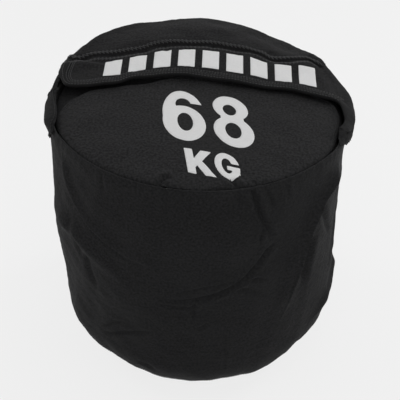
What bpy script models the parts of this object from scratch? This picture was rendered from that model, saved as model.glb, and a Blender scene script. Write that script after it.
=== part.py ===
# Sandbag trainer: a sand-filled nylon cylinder with a double hook-and-loop closure on top.
# Metres, +Z up. The origin is on the floor under the middle of the bag.
# The front, towards -Y, is the side of the plain top panel. The closure flap is sewn on
# towards +Y and opens backwards.

import math

import bmesh
import bpy
from mathutils import Vector

# Bag body
BAG_RADIUS = 0.200          # outer face of the side wall at the rim
BAG_HEIGHT = 0.368          # front rim above the floor
BOTTOM_CORNER = 0.070       # rounding of the filled bag between wall and bottom
BELLY = 0.002               # how far the filled wall swells past the rim
CROWN = 0.010               # rise of the top in its middle
REAR_RISE = 0.028           # how much higher the rim is at the back than at the front
RISE_START = 0.020          # where that rise begins, behind the middle of the bag
RIM_ROLL = 0.006            # rolled edge where the wall turns into the top
BOTTOM_SEAM_ANGLE = 45.0    # degrees around the bottom corner, from straight down

# Cloth, tapes and clearances
FABRIC = 0.0025             # two layers of heavy nylon sewn as one
LINING = 0.0015
LINER_FILM = 0.0010
HOOK_TAPE = 0.0012
LOOP_TAPE = 0.0012
BINDING = 0.0020            # folded tape over a raw seam inside the bag
SEAT = 0.0003               # between pieces that lie on each other
NEST = 0.0007               # between round shells that stand inside each other
FOLD_GAP = 0.0006           # between the two sides of a fold line

# Front top panel and the mouth behind it
LIP_RADIUS = 0.219          # curve of the panel's rear lip
LIP_REACH = 0.060           # where that curve would cross the middle, behind the centre
LIP_STRAIGHT = 0.046        # straight stretch of the lip, hidden by the flap
LIP_END = 0.004             # width left at the panel's two corners
FACING_TUCK = 0.012         # how far the front facing runs under the panel
MOUTH_FRONT = 0.062         # front edge of the mouth, behind the centre
MOUTH_WIDTH = 0.040

# Inner flap
INNER_LAP = 0.003           # how far its root lies on the rear facing
INNER_OVERHANG = 0.0135     # how far it passes the mouth's front edge
INNER_HALF_LENGTH = 0.150

# Closure flap
FOLD_BEHIND_MOUTH = 0.010   # fold line behind the mouth's rear edge
HEM_REACH = 0.042           # middle of the free hem, behind the centre
HEM_RADIUS = 0.310
HEM_BINDING = 0.0008
HEM_BINDING_WIDTH = 0.008
TAPE_EDGE = 0.003           # cloth left free beside a tape
CLOSURE_TAPE_WIDTH = 0.030
FACING_TAPE_WIDTH = 0.009
TAPE_END = 0.012            # cloth left free at a tape's ends

# Wings of the closure flap, which fold down over the rim
WING_REAR = 0.078           # behind the centre
WING_FRONT = 0.058          # in front of the centre
WING_DROP = 0.045           # below the front rim
WING_ROLL = 0.009
WING_INSET = 0.004          # fold line inside the rim at the wing's rear end
WING_TIP_SHARE = 0.35       # of the drop that is rounded off at the wing's ends
PATCH_TOP = 0.012           # side patches, below the front rim
PATCH_HEIGHT = 0.024
PATCH_END = 0.012           # cloth left free beside a side patch

# Hood behind the closure flap
HOOD_SLOPE = 0.045          # width of its padded slope down to the rim
HOOD_EDGE = 0.002           # rim left bare outside it
SEAM_REACH = 0.127          # middle of the curved flap seam, behind the centre
SEAM_RADIUS = 1.000
SEAM_TAPE_WIDTH = 0.007
SEAM_TAPE = 0.0010
SEAM_TAPE_HALF_LENGTH = 0.136
SEAM_TAPE_SEAT = 0.0005

# Seams inside the bag
BINDING_WIDTH = 0.012
SIDE_LAP = 0.0015
SIDE_LAP_HALF_WIDTH = 0.012
SIDE_LAP_END = 0.020        # bare wall above and below the lap

# Liner and sand
HEADSPACE = 0.016           # between the front rim and the filled liner
LINER_BOTTOM_CORNER = 0.076
LINER_TOP_CORNER = 0.030
NECK_RADIUS = 0.008
NECK_HEIGHT = 0.012
TIE_THICKNESS = 0.003
NECK_FOOT_SHARES = ((0.62, 0.25), (0.28, 0.75))   # of the filled radius, of the neck's offset
NECK_FLARE_SHARE = 1.6      # of the neck's radius, at its foot and at its frill

# Facets
ROUND_SEGMENTS = 56
LINER_SEGMENTS = 32
TIE_SEGMENTS = 16
CORNER_STEPS = 4
WALL_STEPS = 5
ROLL_STEPS = 3

# What follows from the sizes above
panel_radius = BAG_RADIUS - RIM_ROLL - SEAT
hood_radius = BAG_RADIUS - HOOD_EDGE
mouth_rear = MOUTH_FRONT + MOUTH_WIDTH
inner_root = mouth_rear + INNER_LAP
inner_tip = MOUTH_FRONT - INNER_OVERHANG
fold_line = mouth_rear + FOLD_BEHIND_MOUTH
wing_fold = math.sqrt(BAG_RADIUS ** 2 - WING_REAR ** 2) - WING_INSET

# Heights of the stacked cloth, above the bag's top surface
facing_top = -FABRIC - SEAT
facing_bottom = facing_top - LINING
facing_tape_bottom = facing_top + SEAT
facing_tape_top = facing_tape_bottom + LOOP_TAPE
inner_hook_bottom = facing_tape_top + SEAT
inner_hook_top = inner_hook_bottom + HOOK_TAPE
inner_bottom = max(inner_hook_top + SEAT, SEAT)
inner_top = inner_bottom + FABRIC
inner_loop_bottom = inner_top + SEAT
inner_loop_top = inner_loop_bottom + LOOP_TAPE
flap_hook_bottom = inner_loop_top + SEAT
flap_hook_top = flap_hook_bottom + HOOK_TAPE
lining_bottom = flap_hook_top + SEAT
lining_top = lining_bottom + LINING
outer_bottom = lining_top + SEAT
outer_top = outer_bottom + FABRIC

# The same stack on the side wall, outwards
patch_loop = (SEAT, SEAT + LOOP_TAPE)
patch_hook = (patch_loop[1] + SEAT, patch_loop[1] + SEAT + HOOK_TAPE)
wing_inner = patch_hook[1] + SEAT
wing_thickness = outer_top - lining_bottom
wing_outer = wing_inner + wing_thickness


for old in list(bpy.data.objects):
    bpy.data.objects.remove(old, do_unlink=True)


def principled(name, color, roughness):
    material = bpy.data.materials.new(name)
    material.use_nodes = True
    shader = material.node_tree.nodes["Principled BSDF"]
    shader.inputs["Base Color"].default_value = (*color, 1.0)
    shader.inputs["Roughness"].default_value = roughness
    shader.inputs["Metallic"].default_value = 0.0
    material.diffuse_color = (*color, 1.0)
    return material


nylon = principled("black_nylon", (0.022, 0.022, 0.024), 0.72)
lining_cloth = principled("lining_cloth", (0.030, 0.030, 0.032), 0.80)
binding_tape = principled("binding_tape", (0.035, 0.035, 0.037), 0.75)
hook_plastic = principled("hook_tape", (0.028, 0.028, 0.030), 0.55)
loop_pile = principled("loop_tape", (0.018, 0.018, 0.019), 0.95)
liner_film = principled("liner_film", (0.72, 0.72, 0.68), 0.45)
tie_plastic = principled("tie_plastic", (0.60, 0.60, 0.58), 0.50)
dry_sand = principled("dry_sand", (0.58, 0.47, 0.33), 0.95)


def smooth_step(share):
    share = min(max(share, 0.0), 1.0)
    return share * share * (3.0 - 2.0 * share)


def blend(low, high, share):
    return low + (high - low) * share


# Height of the bag's top surface. On the rim circle this is the height of the rim.
def top_level(x, y):
    rise = smooth_step((y - RISE_START) / (BAG_RADIUS - RISE_START))
    crown = 1.0 - (x * x + y * y) / (BAG_RADIUS * BAG_RADIUS)
    return BAG_HEIGHT + REAR_RISE * rise + CROWN * crown


def rim_level(angle):
    return top_level(BAG_RADIUS * math.cos(angle), BAG_RADIUS * math.sin(angle))


# Outer radius of the side wall at a height
def wall_radius(z):
    share = (z - BOTTOM_CORNER) / (BAG_HEIGHT - BOTTOM_CORNER)
    share = min(max(share, 0.0), 1.0)
    return BAG_RADIUS + BELLY * math.sin(math.pi * share)


# Depth of an arc of the given radius below its middle
def arc_drop(radius, x):
    return radius - math.sqrt(radius * radius - x * x)


def lip_curve(x):
    return LIP_REACH - arc_drop(LIP_RADIUS, x)


def lip_line(x):
    return min(lip_curve(x), LIP_STRAIGHT)


def hem_line(x):
    return HEM_REACH - arc_drop(HEM_RADIUS, x)


def seam_line(x):
    return SEAM_REACH - arc_drop(SEAM_RADIUS, x)


def circle_line(radius, x):
    return math.sqrt(max(radius * radius - x * x, 0.0))


# Columns that lie closer together towards the ends, where the outlines turn
def columns(half_length, count):
    steps = range(count + 1)
    return [half_length * math.sin(math.pi * (step / count - 0.5)) for step in steps]


def even_columns(half_length, count):
    return [blend(-half_length, half_length, step / count) for step in range(count + 1)]


# Makes an object from points and faces given in the bag's frame. With a pivot, the object
# hangs on that empty, whose place is on the joint's axis.
def add_object(name, points, faces, material, pivot=None):
    offset = pivot_place[pivot.name] if pivot else Vector((0.0, 0.0, 0.0))
    mesh = bpy.data.meshes.new(name)
    mesh.from_pydata([Vector(point) - offset for point in points], [], faces)
    work = bmesh.new()
    work.from_mesh(mesh)
    bmesh.ops.recalc_face_normals(work, faces=work.faces)
    work.to_mesh(mesh)
    work.free()
    mesh.shade_smooth()
    mesh.set_sharp_from_angle(angle=math.radians(40.0))
    item = bpy.data.objects.new(name, mesh)
    item.data.materials.append(material)
    bpy.context.collection.objects.link(item)
    if pivot:
        item.parent = pivot
    return item


# A closed skin between two grids of points that have the same rows and columns
def skin_between(name, upper, lower, material, pivot=None):
    rows = len(upper)
    width = len(upper[0])
    points = [point for row in upper for point in row]
    points += [point for row in lower for point in row]
    lift = rows * width
    faces = []
    for row in range(rows - 1):
        for column in range(width - 1):
            a = row * width + column
            b = a + 1
            c = a + width + 1
            d = a + width
            faces.append((a, b, c, d))
            faces.append((lift + d, lift + c, lift + b, lift + a))
    edge = [column for column in range(width)]
    edge += [row * width + width - 1 for row in range(1, rows)]
    edge += [(rows - 1) * width + column for column in range(width - 2, -1, -1)]
    edge += [row * width for row in range(rows - 2, 0, -1)]
    for index, here in enumerate(edge):
        after = edge[(index + 1) % len(edge)]
        faces.append((after, here, lift + here, lift + after))
    return add_object(name, points, faces, material, pivot)


# A sheet of cloth over the top of the bag. Its edges are lines over x, and its two faces
# are heights over (x, y).
def top_sheet(name, xs, front, rear, bottom, top, rows, material, pivot=None):
    upper = []
    lower = []
    for row in range(rows + 1):
        line = [(x, blend(front(x), rear(x), row / rows)) for x in xs]
        upper.append([(x, y, top(x, y)) for x, y in line])
        lower.append([(x, y, bottom(x, y)) for x, y in line])
    return skin_between(name, upper, lower, material, pivot)


# Height of the top surface plus a fixed amount
def above(amount):
    return lambda x, y: top_level(x, y) + amount


# A line across the bag at one distance behind the centre
def straight(y):
    return lambda x: y


# A solid turned from a closed loop of (radius, height) at each angle
def turned_ring(name, loop_at, segments, material, centre_y=0.0):
    points = []
    for step in range(segments):
        angle = 2.0 * math.pi * step / segments
        for radius, z in loop_at(angle):
            points.append((radius * math.cos(angle), centre_y + radius * math.sin(angle), z))
    size = len(loop_at(0.0))
    faces = []
    for step in range(segments):
        after = (step + 1) % segments
        for index in range(size):
            following = (index + 1) % size
            faces.append((step * size + index, after * size + index,
                          after * size + following, step * size + following))
    return add_object(name, points, faces, material)


# A solid turned from a path that starts and ends on the axis, as (radius, height, offset),
# where the offset moves that ring backwards
def turned_solid(name, path, segments, material):
    points = [(0.0, path[0][2], path[0][1])]
    for radius, z, offset in path[1:-1]:
        for step in range(segments):
            angle = 2.0 * math.pi * step / segments
            points.append((radius * math.cos(angle), offset + radius * math.sin(angle), z))
    points.append((0.0, path[-1][2], path[-1][1]))
    last = len(points) - 1
    rings = len(path) - 2
    faces = []
    for step in range(segments):
        after = (step + 1) % segments
        faces.append((0, 1 + after, 1 + step))
        for ring in range(rings - 1):
            low = 1 + ring * segments
            high = low + segments
            faces.append((low + step, low + after, high + after, high + step))
        top = 1 + (rings - 1) * segments
        faces.append((top + step, top + after, last))
    return add_object(name, points, faces, material)


# A patch that lies on the side wall, between two offsets from its outer face
def wall_patch(name, angles, heights, offsets, material, pivot=None):
    def grid(offset):
        return [[((wall_radius(z) + offset) * math.cos(angle),
                  (wall_radius(z) + offset) * math.sin(angle), z) for angle in angles]
                for z in heights]
    return skin_between(name, grid(offsets[1]), grid(offsets[0]), material, pivot)


# Points of the bottom corner's arc, moved inwards by an inset
def corner_arc(from_degrees, to_degrees, inset, corner, radius, steps):
    centre = radius - corner
    reach = corner - inset
    arc = []
    for step in range(steps + 1):
        angle = math.radians(blend(from_degrees, to_degrees, step / steps))
        arc.append((centre + reach * math.sin(angle), corner - reach * math.cos(angle)))
    return arc


# Empties that carry the moving pieces, each with its place on the joint's axis
pivot_place = {}


def add_pivot(name, place, parent=None):
    pivot = bpy.data.objects.new(name, None)
    pivot.empty_display_size = FABRIC
    bpy.context.collection.objects.link(pivot)
    pivot_place[name] = Vector(place)
    if parent:
        pivot.parent = parent
        pivot.location = Vector(place) - pivot_place[parent.name]
    else:
        pivot.location = place
    return pivot


flap_pivot = add_pivot("closure_flap_pivot",
                       (0.0, fold_line, top_level(0.0, fold_line) + outer_top))
inner_pivot = add_pivot("inner_flap_pivot",
                        (0.0, inner_root, top_level(0.0, inner_root) + inner_top))
wing_pivots = {}
for side, sign in (("left", -1.0), ("right", 1.0)):
    place = (sign * wing_fold, WING_REAR, top_level(wing_fold, WING_REAR) + outer_top)
    wing_pivots[side] = add_pivot(side + "_wing_pivot", place, flap_pivot)


# Bag body

def wall_loop(angle):
    rim = rim_level(angle)
    foot = BOTTOM_CORNER
    shoulder = rim - RIM_ROLL
    heights = [blend(foot, shoulder, step / WALL_STEPS) for step in range(1, WALL_STEPS + 1)]
    turns = [math.radians(90.0 * step / ROLL_STEPS) for step in range(1, ROLL_STEPS + 1)]
    roll_centre = BAG_RADIUS - RIM_ROLL
    seam = BOTTOM_SEAM_ANGLE
    outer = corner_arc(seam, 90.0, 0.0, BOTTOM_CORNER, BAG_RADIUS, CORNER_STEPS)
    outer += [(wall_radius(z), z) for z in heights]
    outer += [(roll_centre + RIM_ROLL * math.cos(turn), shoulder + RIM_ROLL * math.sin(turn))
              for turn in turns]
    inner = corner_arc(seam, 90.0, FABRIC, BOTTOM_CORNER, BAG_RADIUS, CORNER_STEPS)
    inner += [(wall_radius(z) - FABRIC, z) for z in heights]
    reach = RIM_ROLL - FABRIC
    inner += [(roll_centre + reach * math.cos(turn), shoulder + reach * math.sin(turn))
              for turn in turns]
    return outer + inner[::-1]


turned_ring("side_wall", wall_loop, ROUND_SEGMENTS, nylon)

seam_gap_angle = math.degrees(FOLD_GAP / BOTTOM_CORNER)
bottom_edge = BOTTOM_SEAM_ANGLE - seam_gap_angle
bottom_outer = corner_arc(0.0, bottom_edge, 0.0, BOTTOM_CORNER, BAG_RADIUS, CORNER_STEPS)
bottom_inner = corner_arc(0.0, bottom_edge, FABRIC, BOTTOM_CORNER, BAG_RADIUS, CORNER_STEPS)
bottom_path = [(0.0, 0.0, 0.0)]
bottom_path += [(radius, z, 0.0) for radius, z in bottom_outer]
bottom_path += [(radius, z, 0.0) for radius, z in reversed(bottom_inner)]
bottom_path.append((0.0, FABRIC, 0.0))
turned_solid("bottom_panel", bottom_path, ROUND_SEGMENTS, nylon)

# The two seams that join the wall to its ends are bound on the inside of the bag.
bottom_binding_turn = math.degrees(BINDING_WIDTH / BOTTOM_CORNER) / 2.0


def bottom_binding_loop(angle):
    low = BOTTOM_SEAM_ANGLE - bottom_binding_turn
    high = BOTTOM_SEAM_ANGLE + bottom_binding_turn
    outer_inset = FABRIC + NEST
    outer = corner_arc(low, high, outer_inset, BOTTOM_CORNER, BAG_RADIUS, 1)
    inner = corner_arc(low, high, outer_inset + BINDING, BOTTOM_CORNER, BAG_RADIUS, 1)
    return outer + inner[::-1]


def top_binding_loop(angle):
    top = rim_level(angle) - RIM_ROLL - SEAT
    low = top - BINDING_WIDTH
    inset = FABRIC + NEST
    return [(wall_radius(low) - inset, low), (wall_radius(top) - inset, top),
            (wall_radius(top) - inset - BINDING, top), (wall_radius(low) - inset - BINDING, low)]


turned_ring("bottom_seam_binding", bottom_binding_loop, ROUND_SEGMENTS, binding_tape)
turned_ring("top_seam_binding", top_binding_loop, ROUND_SEGMENTS, binding_tape)

# The wall's own seam runs up the back, with its lap inside.
lap_turn = SIDE_LAP_HALF_WIDTH / BAG_RADIUS
lap_angles = [math.pi / 2.0 + lap_turn * share for share in (-1.0, -0.5, 0.0, 0.5, 1.0)]
lap_low = BOTTOM_CORNER + SIDE_LAP_END
lap_high = BAG_HEIGHT - RIM_ROLL - BINDING_WIDTH - SIDE_LAP_END
lap_heights = [blend(lap_low, lap_high, step / WALL_STEPS) for step in range(WALL_STEPS + 1)]
wall_patch("side_seam_lap", lap_angles, lap_heights,
           (-FABRIC - NEST - SIDE_LAP, -FABRIC - NEST), binding_tape)


# Front top panel, and the facings that form the two lips of the mouth

lip_centre = LIP_REACH - LIP_RADIUS
corner_y = (panel_radius ** 2 - LIP_RADIUS ** 2 + lip_centre ** 2) / (2.0 * lip_centre)
panel_half = math.sqrt(panel_radius ** 2 - corner_y ** 2) - LIP_END
top_sheet("front_top_panel", columns(panel_half, 22), lambda x: -circle_line(panel_radius, x),
          lip_line, above(-FABRIC), above(0.0), 8, nylon)


def facing_front(x):
    return max(lip_line(x) - FACING_TUCK, -circle_line(panel_radius, x) + LIP_END)


facing_half = math.sqrt(panel_radius ** 2 - MOUTH_FRONT ** 2)
top_sheet("front_mouth_facing", columns(facing_half, 18), facing_front,
          straight(MOUTH_FRONT), above(facing_bottom), above(facing_top), 4, lining_cloth)

facing_tape_rear = MOUTH_FRONT - TAPE_EDGE / 2.0
facing_tape_front = facing_tape_rear - FACING_TAPE_WIDTH
tape_half = INNER_HALF_LENGTH - TAPE_END
top_sheet("front_loop_tape", even_columns(tape_half, 14), straight(facing_tape_front),
          straight(facing_tape_rear), above(facing_tape_bottom), above(facing_tape_top), 1,
          loop_pile)

rear_half = math.sqrt(panel_radius ** 2 - mouth_rear ** 2) - LIP_END
top_sheet("rear_mouth_facing", columns(rear_half, 16), straight(mouth_rear),
          lambda x: circle_line(panel_radius, x), above(-FABRIC), above(0.0), 5, lining_cloth)


# Hood behind the flap. It is padded up to the flap's height and slopes down to the rim.

def hood_lift(x, y):
    return smooth_step((hood_radius - math.hypot(x, y)) / HOOD_SLOPE)


def hood_bottom(x, y):
    return top_level(x, y) + blend(SEAT, lining_bottom, hood_lift(x, y))


def hood_top(x, y):
    return top_level(x, y) + blend(SEAT + FABRIC, outer_top, hood_lift(x, y))


hood_front = fold_line + FOLD_GAP
hood_half = math.sqrt(hood_radius ** 2 - hood_front ** 2) - LIP_END
top_sheet("rear_hood", columns(hood_half, 20), straight(hood_front),
          lambda x: circle_line(hood_radius, x), hood_bottom, hood_top, 8, nylon)

top_sheet("flap_seam_tape", even_columns(SEAM_TAPE_HALF_LENGTH, 24),
          lambda x: seam_line(x) - SEAM_TAPE_WIDTH / 2.0,
          lambda x: seam_line(x) + SEAM_TAPE_WIDTH / 2.0,
          lambda x, y: hood_top(x, y) + SEAM_TAPE_SEAT,
          lambda x, y: hood_top(x, y) + SEAM_TAPE_SEAT + SEAM_TAPE, 1, binding_tape)


# Inner flap: it closes the mouth, hook side down on the front facing's tape.

top_sheet("inner_flap", even_columns(INNER_HALF_LENGTH, 14), straight(inner_tip),
          straight(inner_root), above(inner_bottom), above(inner_top), 5, nylon, inner_pivot)
top_sheet("inner_hook_tape", even_columns(tape_half, 14), straight(facing_tape_front),
          straight(facing_tape_rear), above(inner_hook_bottom), above(inner_hook_top), 1,
          hook_plastic, inner_pivot)

closure_tape_front = HEM_REACH + HEM_BINDING_WIDTH + TAPE_EDGE
closure_tape_rear = closure_tape_front + CLOSURE_TAPE_WIDTH
top_sheet("inner_loop_tape", even_columns(tape_half, 14), straight(closure_tape_front),
          straight(closure_tape_rear), above(inner_loop_bottom), above(inner_loop_top), 2,
          loop_pile, inner_pivot)


# Closure flap: outer cloth and lining, bound together along the free hem.

hem_inset = HEM_BINDING + SEAT


def flap_front(x):
    return hem_line(x) + hem_inset


def flap_rear(x):
    return min(fold_line, circle_line(BAG_RADIUS, x))


flap_columns = columns(wing_fold, 20)
top_sheet("flap_outer", flap_columns, flap_front, flap_rear, above(outer_bottom),
          above(outer_top), 6, nylon, flap_pivot)
top_sheet("flap_lining", flap_columns, flap_front, flap_rear, above(lining_bottom),
          above(lining_top), 6, lining_cloth, flap_pivot)
top_sheet("flap_hook_tape", even_columns(tape_half, 14), straight(closure_tape_front),
          straight(closure_tape_rear), above(flap_hook_bottom), above(flap_hook_top), 2,
          hook_plastic, flap_pivot)


# A folded tape over the hem, with a leg above and a leg below the cloth
def hem_binding():
    width = HEM_BINDING_WIDTH
    inside_top = outer_top + SEAT
    inside_bottom = lining_bottom - SEAT
    section = [(width, inside_top + HEM_BINDING), (0.0, inside_top + HEM_BINDING),
               (0.0, inside_bottom - HEM_BINDING), (width, inside_bottom - HEM_BINDING),
               (width, inside_bottom), (HEM_BINDING, inside_bottom),
               (HEM_BINDING, inside_top), (width, inside_top)]
    size = len(section)
    points = []
    for x in flap_columns:
        for back, height in section:
            y = hem_line(x) + back
            points.append((x, y, top_level(x, y) + height))
    faces = []
    for column in range(len(flap_columns) - 1):
        for index in range(size):
            following = (index + 1) % size
            here = column * size
            faces.append((here + index, here + following, here + size + following,
                          here + size + index))
    last = (len(flap_columns) - 1) * size
    for start, order in ((0, 1), (last, -1)):
        for quad in ((0, 1, 6, 7), (1, 2, 5, 6), (2, 3, 4, 5)):
            faces.append(tuple(start + index for index in quad[::order]))
    return add_object("flap_edge_binding", points, faces, binding_tape, flap_pivot)


hem_binding()


# Wings: the flap's two ends, which fold over the rim and down the side wall.

def wing_section(y, drop, inset):
    rim_x = math.sqrt((BAG_RADIUS + wing_outer) ** 2 - y * y)
    level = top_level(rim_x - WING_ROLL, y) + outer_top
    reach = WING_ROLL - inset
    section = [(wing_fold + FOLD_GAP, y, top_level(wing_fold, y) + outer_top - inset)]
    for step in range(ROLL_STEPS + 1):
        turn = math.radians(90.0 * (1.0 - step / ROLL_STEPS))
        section.append((rim_x - WING_ROLL + reach * math.cos(turn), y,
                        level - WING_ROLL + reach * math.sin(turn)))
    upper = level - WING_ROLL
    lower = BAG_HEIGHT - drop
    for step in range(1, 4):
        z = blend(upper, lower, step / 3)
        radius = wall_radius(z) + wing_outer - inset
        section.append((math.sqrt(radius * radius - y * y), y, z))
    return section


def wing_grid(sign, inset):
    steps = 10
    grid = []
    for step in range(steps + 1):
        y = blend(-WING_FRONT, WING_REAR, step / steps)
        across = 2.0 * step / steps - 1.0
        drop = WING_DROP * (1.0 - WING_TIP_SHARE * across ** 4)
        grid.append([(sign * x, along, z) for x, along, z in wing_section(y, drop, inset)])
    return grid


patch_low = BAG_HEIGHT - PATCH_TOP - PATCH_HEIGHT
patch_heights = [blend(patch_low, BAG_HEIGHT - PATCH_TOP, step / 3) for step in range(4)]
patch_from = math.asin((PATCH_END - WING_FRONT) / BAG_RADIUS)
patch_to = math.asin((WING_REAR - PATCH_END) / BAG_RADIUS)
patch_turns = [blend(patch_from, patch_to, step / 10) for step in range(11)]

for side, sign in (("left", -1.0), ("right", 1.0)):
    wing_pivot = wing_pivots[side]
    skin_between("wing_" + side, wing_grid(sign, 0.0), wing_grid(sign, wing_thickness),
                 nylon, wing_pivot)
    angles = [turn if sign > 0.0 else math.pi - turn for turn in patch_turns]
    wall_patch("side_loop_patch_" + side, angles, patch_heights, patch_loop, loop_pile)
    wall_patch("wing_hook_patch_" + side, angles, patch_heights, patch_hook, hook_plastic,
               wing_pivot)


# Liner: a closed inner bag whose neck is gathered under the mouth and tied off.

liner_inset = FABRIC + NEST + BINDING + NEST
liner_radius = BAG_RADIUS - liner_inset
liner_floor = FABRIC + SEAT
liner_top = BAG_HEIGHT - HEADSPACE
neck_y = (MOUTH_FRONT + mouth_rear) / 2.0
neck_foot_z = liner_top + NECK_HEIGHT / 4.0
tie_z = liner_top + NECK_HEIGHT / 2.0
tie_room = TIE_THICKNESS / 2.0 + SEAT


# Outline of the filled liner from the floor up to its top corner, moved inwards by an inset
def liner_outline(inset):
    floor = liner_floor + inset
    corner = LINER_BOTTOM_CORNER - inset
    foot = liner_floor + LINER_BOTTOM_CORNER
    centre = liner_radius - LINER_BOTTOM_CORNER
    outline = []
    for step in range(CORNER_STEPS + 1):
        turn = math.radians(90.0 * step / CORNER_STEPS)
        outline.append((centre + corner * math.sin(turn), floor + corner * (1.0 - math.cos(turn))))
    shoulder = liner_top - LINER_TOP_CORNER
    for step in range(1, WALL_STEPS):
        z = blend(foot, shoulder, step / (WALL_STEPS - 1))
        outline.append((wall_radius(z) - liner_inset - inset, z))
    top_radius = wall_radius(shoulder) - liner_inset
    reach = LINER_TOP_CORNER - inset
    for step in range(1, ROLL_STEPS + 1):
        turn = math.radians(90.0 * step / ROLL_STEPS)
        outline.append((top_radius - LINER_TOP_CORNER + reach * math.cos(turn),
                        shoulder + reach * math.sin(turn)))
    return outline


def liner_path(inset):
    flare = NECK_RADIUS * NECK_FLARE_SHARE
    path = [(0.0, liner_floor + inset, 0.0)]
    path += [(radius, z, 0.0) for radius, z in liner_outline(inset)]
    path += [(liner_radius * wide, liner_top - inset, neck_y * moved)
             for wide, moved in NECK_FOOT_SHARES]
    path.append((flare - inset, neck_foot_z - inset, neck_y))
    path.append((NECK_RADIUS - inset, tie_z - tie_room, neck_y))
    path.append((NECK_RADIUS - inset, tie_z + tie_room, neck_y))
    path.append((flare - inset, liner_top + NECK_HEIGHT, neck_y))
    return path


turned_solid("sand_liner", liner_path(0.0) + liner_path(LINER_FILM)[::-1], LINER_SEGMENTS,
             liner_film)

tie_inner = NECK_RADIUS + NEST
tie_middle = tie_inner + TIE_THICKNESS / 2.0
tie_turns = [math.radians(60.0 * step) for step in range(6)]
tie_loop = [(tie_middle + TIE_THICKNESS / 2.0 * math.cos(turn),
             tie_z + TIE_THICKNESS / 2.0 * math.sin(turn)) for turn in tie_turns]
turned_ring("liner_tie", lambda angle: tie_loop, TIE_SEGMENTS, tie_plastic, neck_y)

sand_inset = LINER_FILM + SEAT
sand_path = [(0.0, liner_floor + sand_inset, 0.0)]
sand_path += [(radius, z, 0.0) for radius, z in liner_outline(sand_inset)]
sand_path.append((0.0, liner_top - sand_inset, 0.0))
turned_solid("sand_fill", sand_path, LINER_SEGMENTS, dry_sand)
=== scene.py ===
import math

import bpy
import numpy as np
from mathutils import Matrix, Vector
from mathutils.geometry import delaunay_2d_cdt


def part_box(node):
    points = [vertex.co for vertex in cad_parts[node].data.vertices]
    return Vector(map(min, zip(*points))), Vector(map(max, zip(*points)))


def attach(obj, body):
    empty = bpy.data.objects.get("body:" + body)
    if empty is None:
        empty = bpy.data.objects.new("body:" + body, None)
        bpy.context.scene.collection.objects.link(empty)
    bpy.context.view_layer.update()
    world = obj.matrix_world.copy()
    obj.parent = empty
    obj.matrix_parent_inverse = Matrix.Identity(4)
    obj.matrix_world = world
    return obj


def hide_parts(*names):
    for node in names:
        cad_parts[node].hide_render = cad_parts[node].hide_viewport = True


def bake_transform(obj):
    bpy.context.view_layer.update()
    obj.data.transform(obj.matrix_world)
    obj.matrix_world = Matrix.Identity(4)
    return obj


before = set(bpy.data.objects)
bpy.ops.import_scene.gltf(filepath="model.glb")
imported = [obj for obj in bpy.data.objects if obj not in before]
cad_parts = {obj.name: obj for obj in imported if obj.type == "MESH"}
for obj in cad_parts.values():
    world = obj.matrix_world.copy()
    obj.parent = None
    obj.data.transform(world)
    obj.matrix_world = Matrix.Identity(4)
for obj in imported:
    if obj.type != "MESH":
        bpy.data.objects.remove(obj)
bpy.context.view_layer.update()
print("frame loaded,", len(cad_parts), "nodes")

# The filled bag. Lengths here and below are in metres, in the frame of the CAD, and turns are
# degrees round the bag from +X towards the back.
bag = {
    "radius": 0.200,
    "rimHeight": 0.368,          # at the front
    "crown": 0.010,              # rise of the top in its middle
    "rearRise": 0.029,           # the rim stands that much higher at the back
    "riseStart": 0.020,
    "riseLeanShare": 0.25,       # the hood is fuller at the left than at the right
    "rimBumps": [(34.0, 8.0, 0.0065), (58.0, 12.0, -0.0040), (88.0, 12.0, 0.0010),
                 (110.0, 10.0, -0.0030)],                     # turn, width, height
    "rimSwells": [(143.0, 18.0, 0.0076, 0.260, 0.360),
                  (6.0, 17.0, 0.0050, 0.325, 0.365),
                  (200.0, 9.0, 0.0026, 0.290, 0.340),
                  (-27.0, 9.0, 0.0024, 0.290, 0.350)],        # turn, width, amount, from, to
    "wallSwell": [(0.050, -0.0030), (0.090, -0.0005), (0.240, 0.0010), (0.330, 0.0)],
    "wingInset": (0.0004, 0.300, 0.02),  # pressed in under the wings, from what height, over what
    "wingSpan": (-25.0, 32.0, 5.0),      # the wings' turns, from the side backwards, and softness
    "bumpReach": (0.08, 0.10),           # from where the rim's bumps grow, and over what
    "bottomCorner": 0.070,
    "cornerFuller": [(-20.0, 35.0, 0.016), (-118.0, 18.0, 0.006)],
    "bottomSeamTurn": 44.0,      # round the bottom corner, from straight down
    "lowerShift": 0.008,         # the sand has slumped a little to the right, low down
    "lowerShiftTop": 0.200,
    "lowerShiftDepth": 0.090,
    "rollRadius": 0.0026,        # rolled edge between wall and top
    "grooveDepth": 0.0050,
    "grooveShallow": [(-94.0, 11.0, 0.80), (-62.0, 8.0, 0.65)],   # turn, width, share filled
}

# The camera looks at the bag from in front and above, a little tilted.
photo = {
    "target": (0.0067, 0.0, 0.2077),
    "elevation": 36.5,
    "distance": 1.353,
    "tilt": 2.52,
    "size": 400.0,               # pixels
    "focal": 930.9,              # pixels
    "sensor": 36.0,
}


# Small tools for shapes

def smoothStep(share):
    share = np.clip(share, 0.0, 1.0)
    return share * share * (3.0 - 2.0 * share)


def mix(low, high, share):
    return low + (high - low) * share


def bell(distance, width):
    return np.exp(-(distance / width) ** 2)


# A lift for a sheet, constant or above another one
def lifted(amount, base=None):
    return lambda x, y: (base(x, y) if base else 0.0 * x) + amount


def turnBetween(turn, degrees):
    return (np.degrees(turn) - degrees + 180.0) % 360.0 - 180.0


# Degrees from the nearer end of the X axis, positive towards the back
def fromSide(turn):
    return np.degrees(np.arcsin(np.clip(np.sin(turn), -1.0, 1.0)))


def underWing(turn):
    side = fromSide(turn)
    front, rear, soft = bag["wingSpan"]
    return smoothStep((side - front) / soft) * smoothStep((rear - side) / soft)


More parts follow.
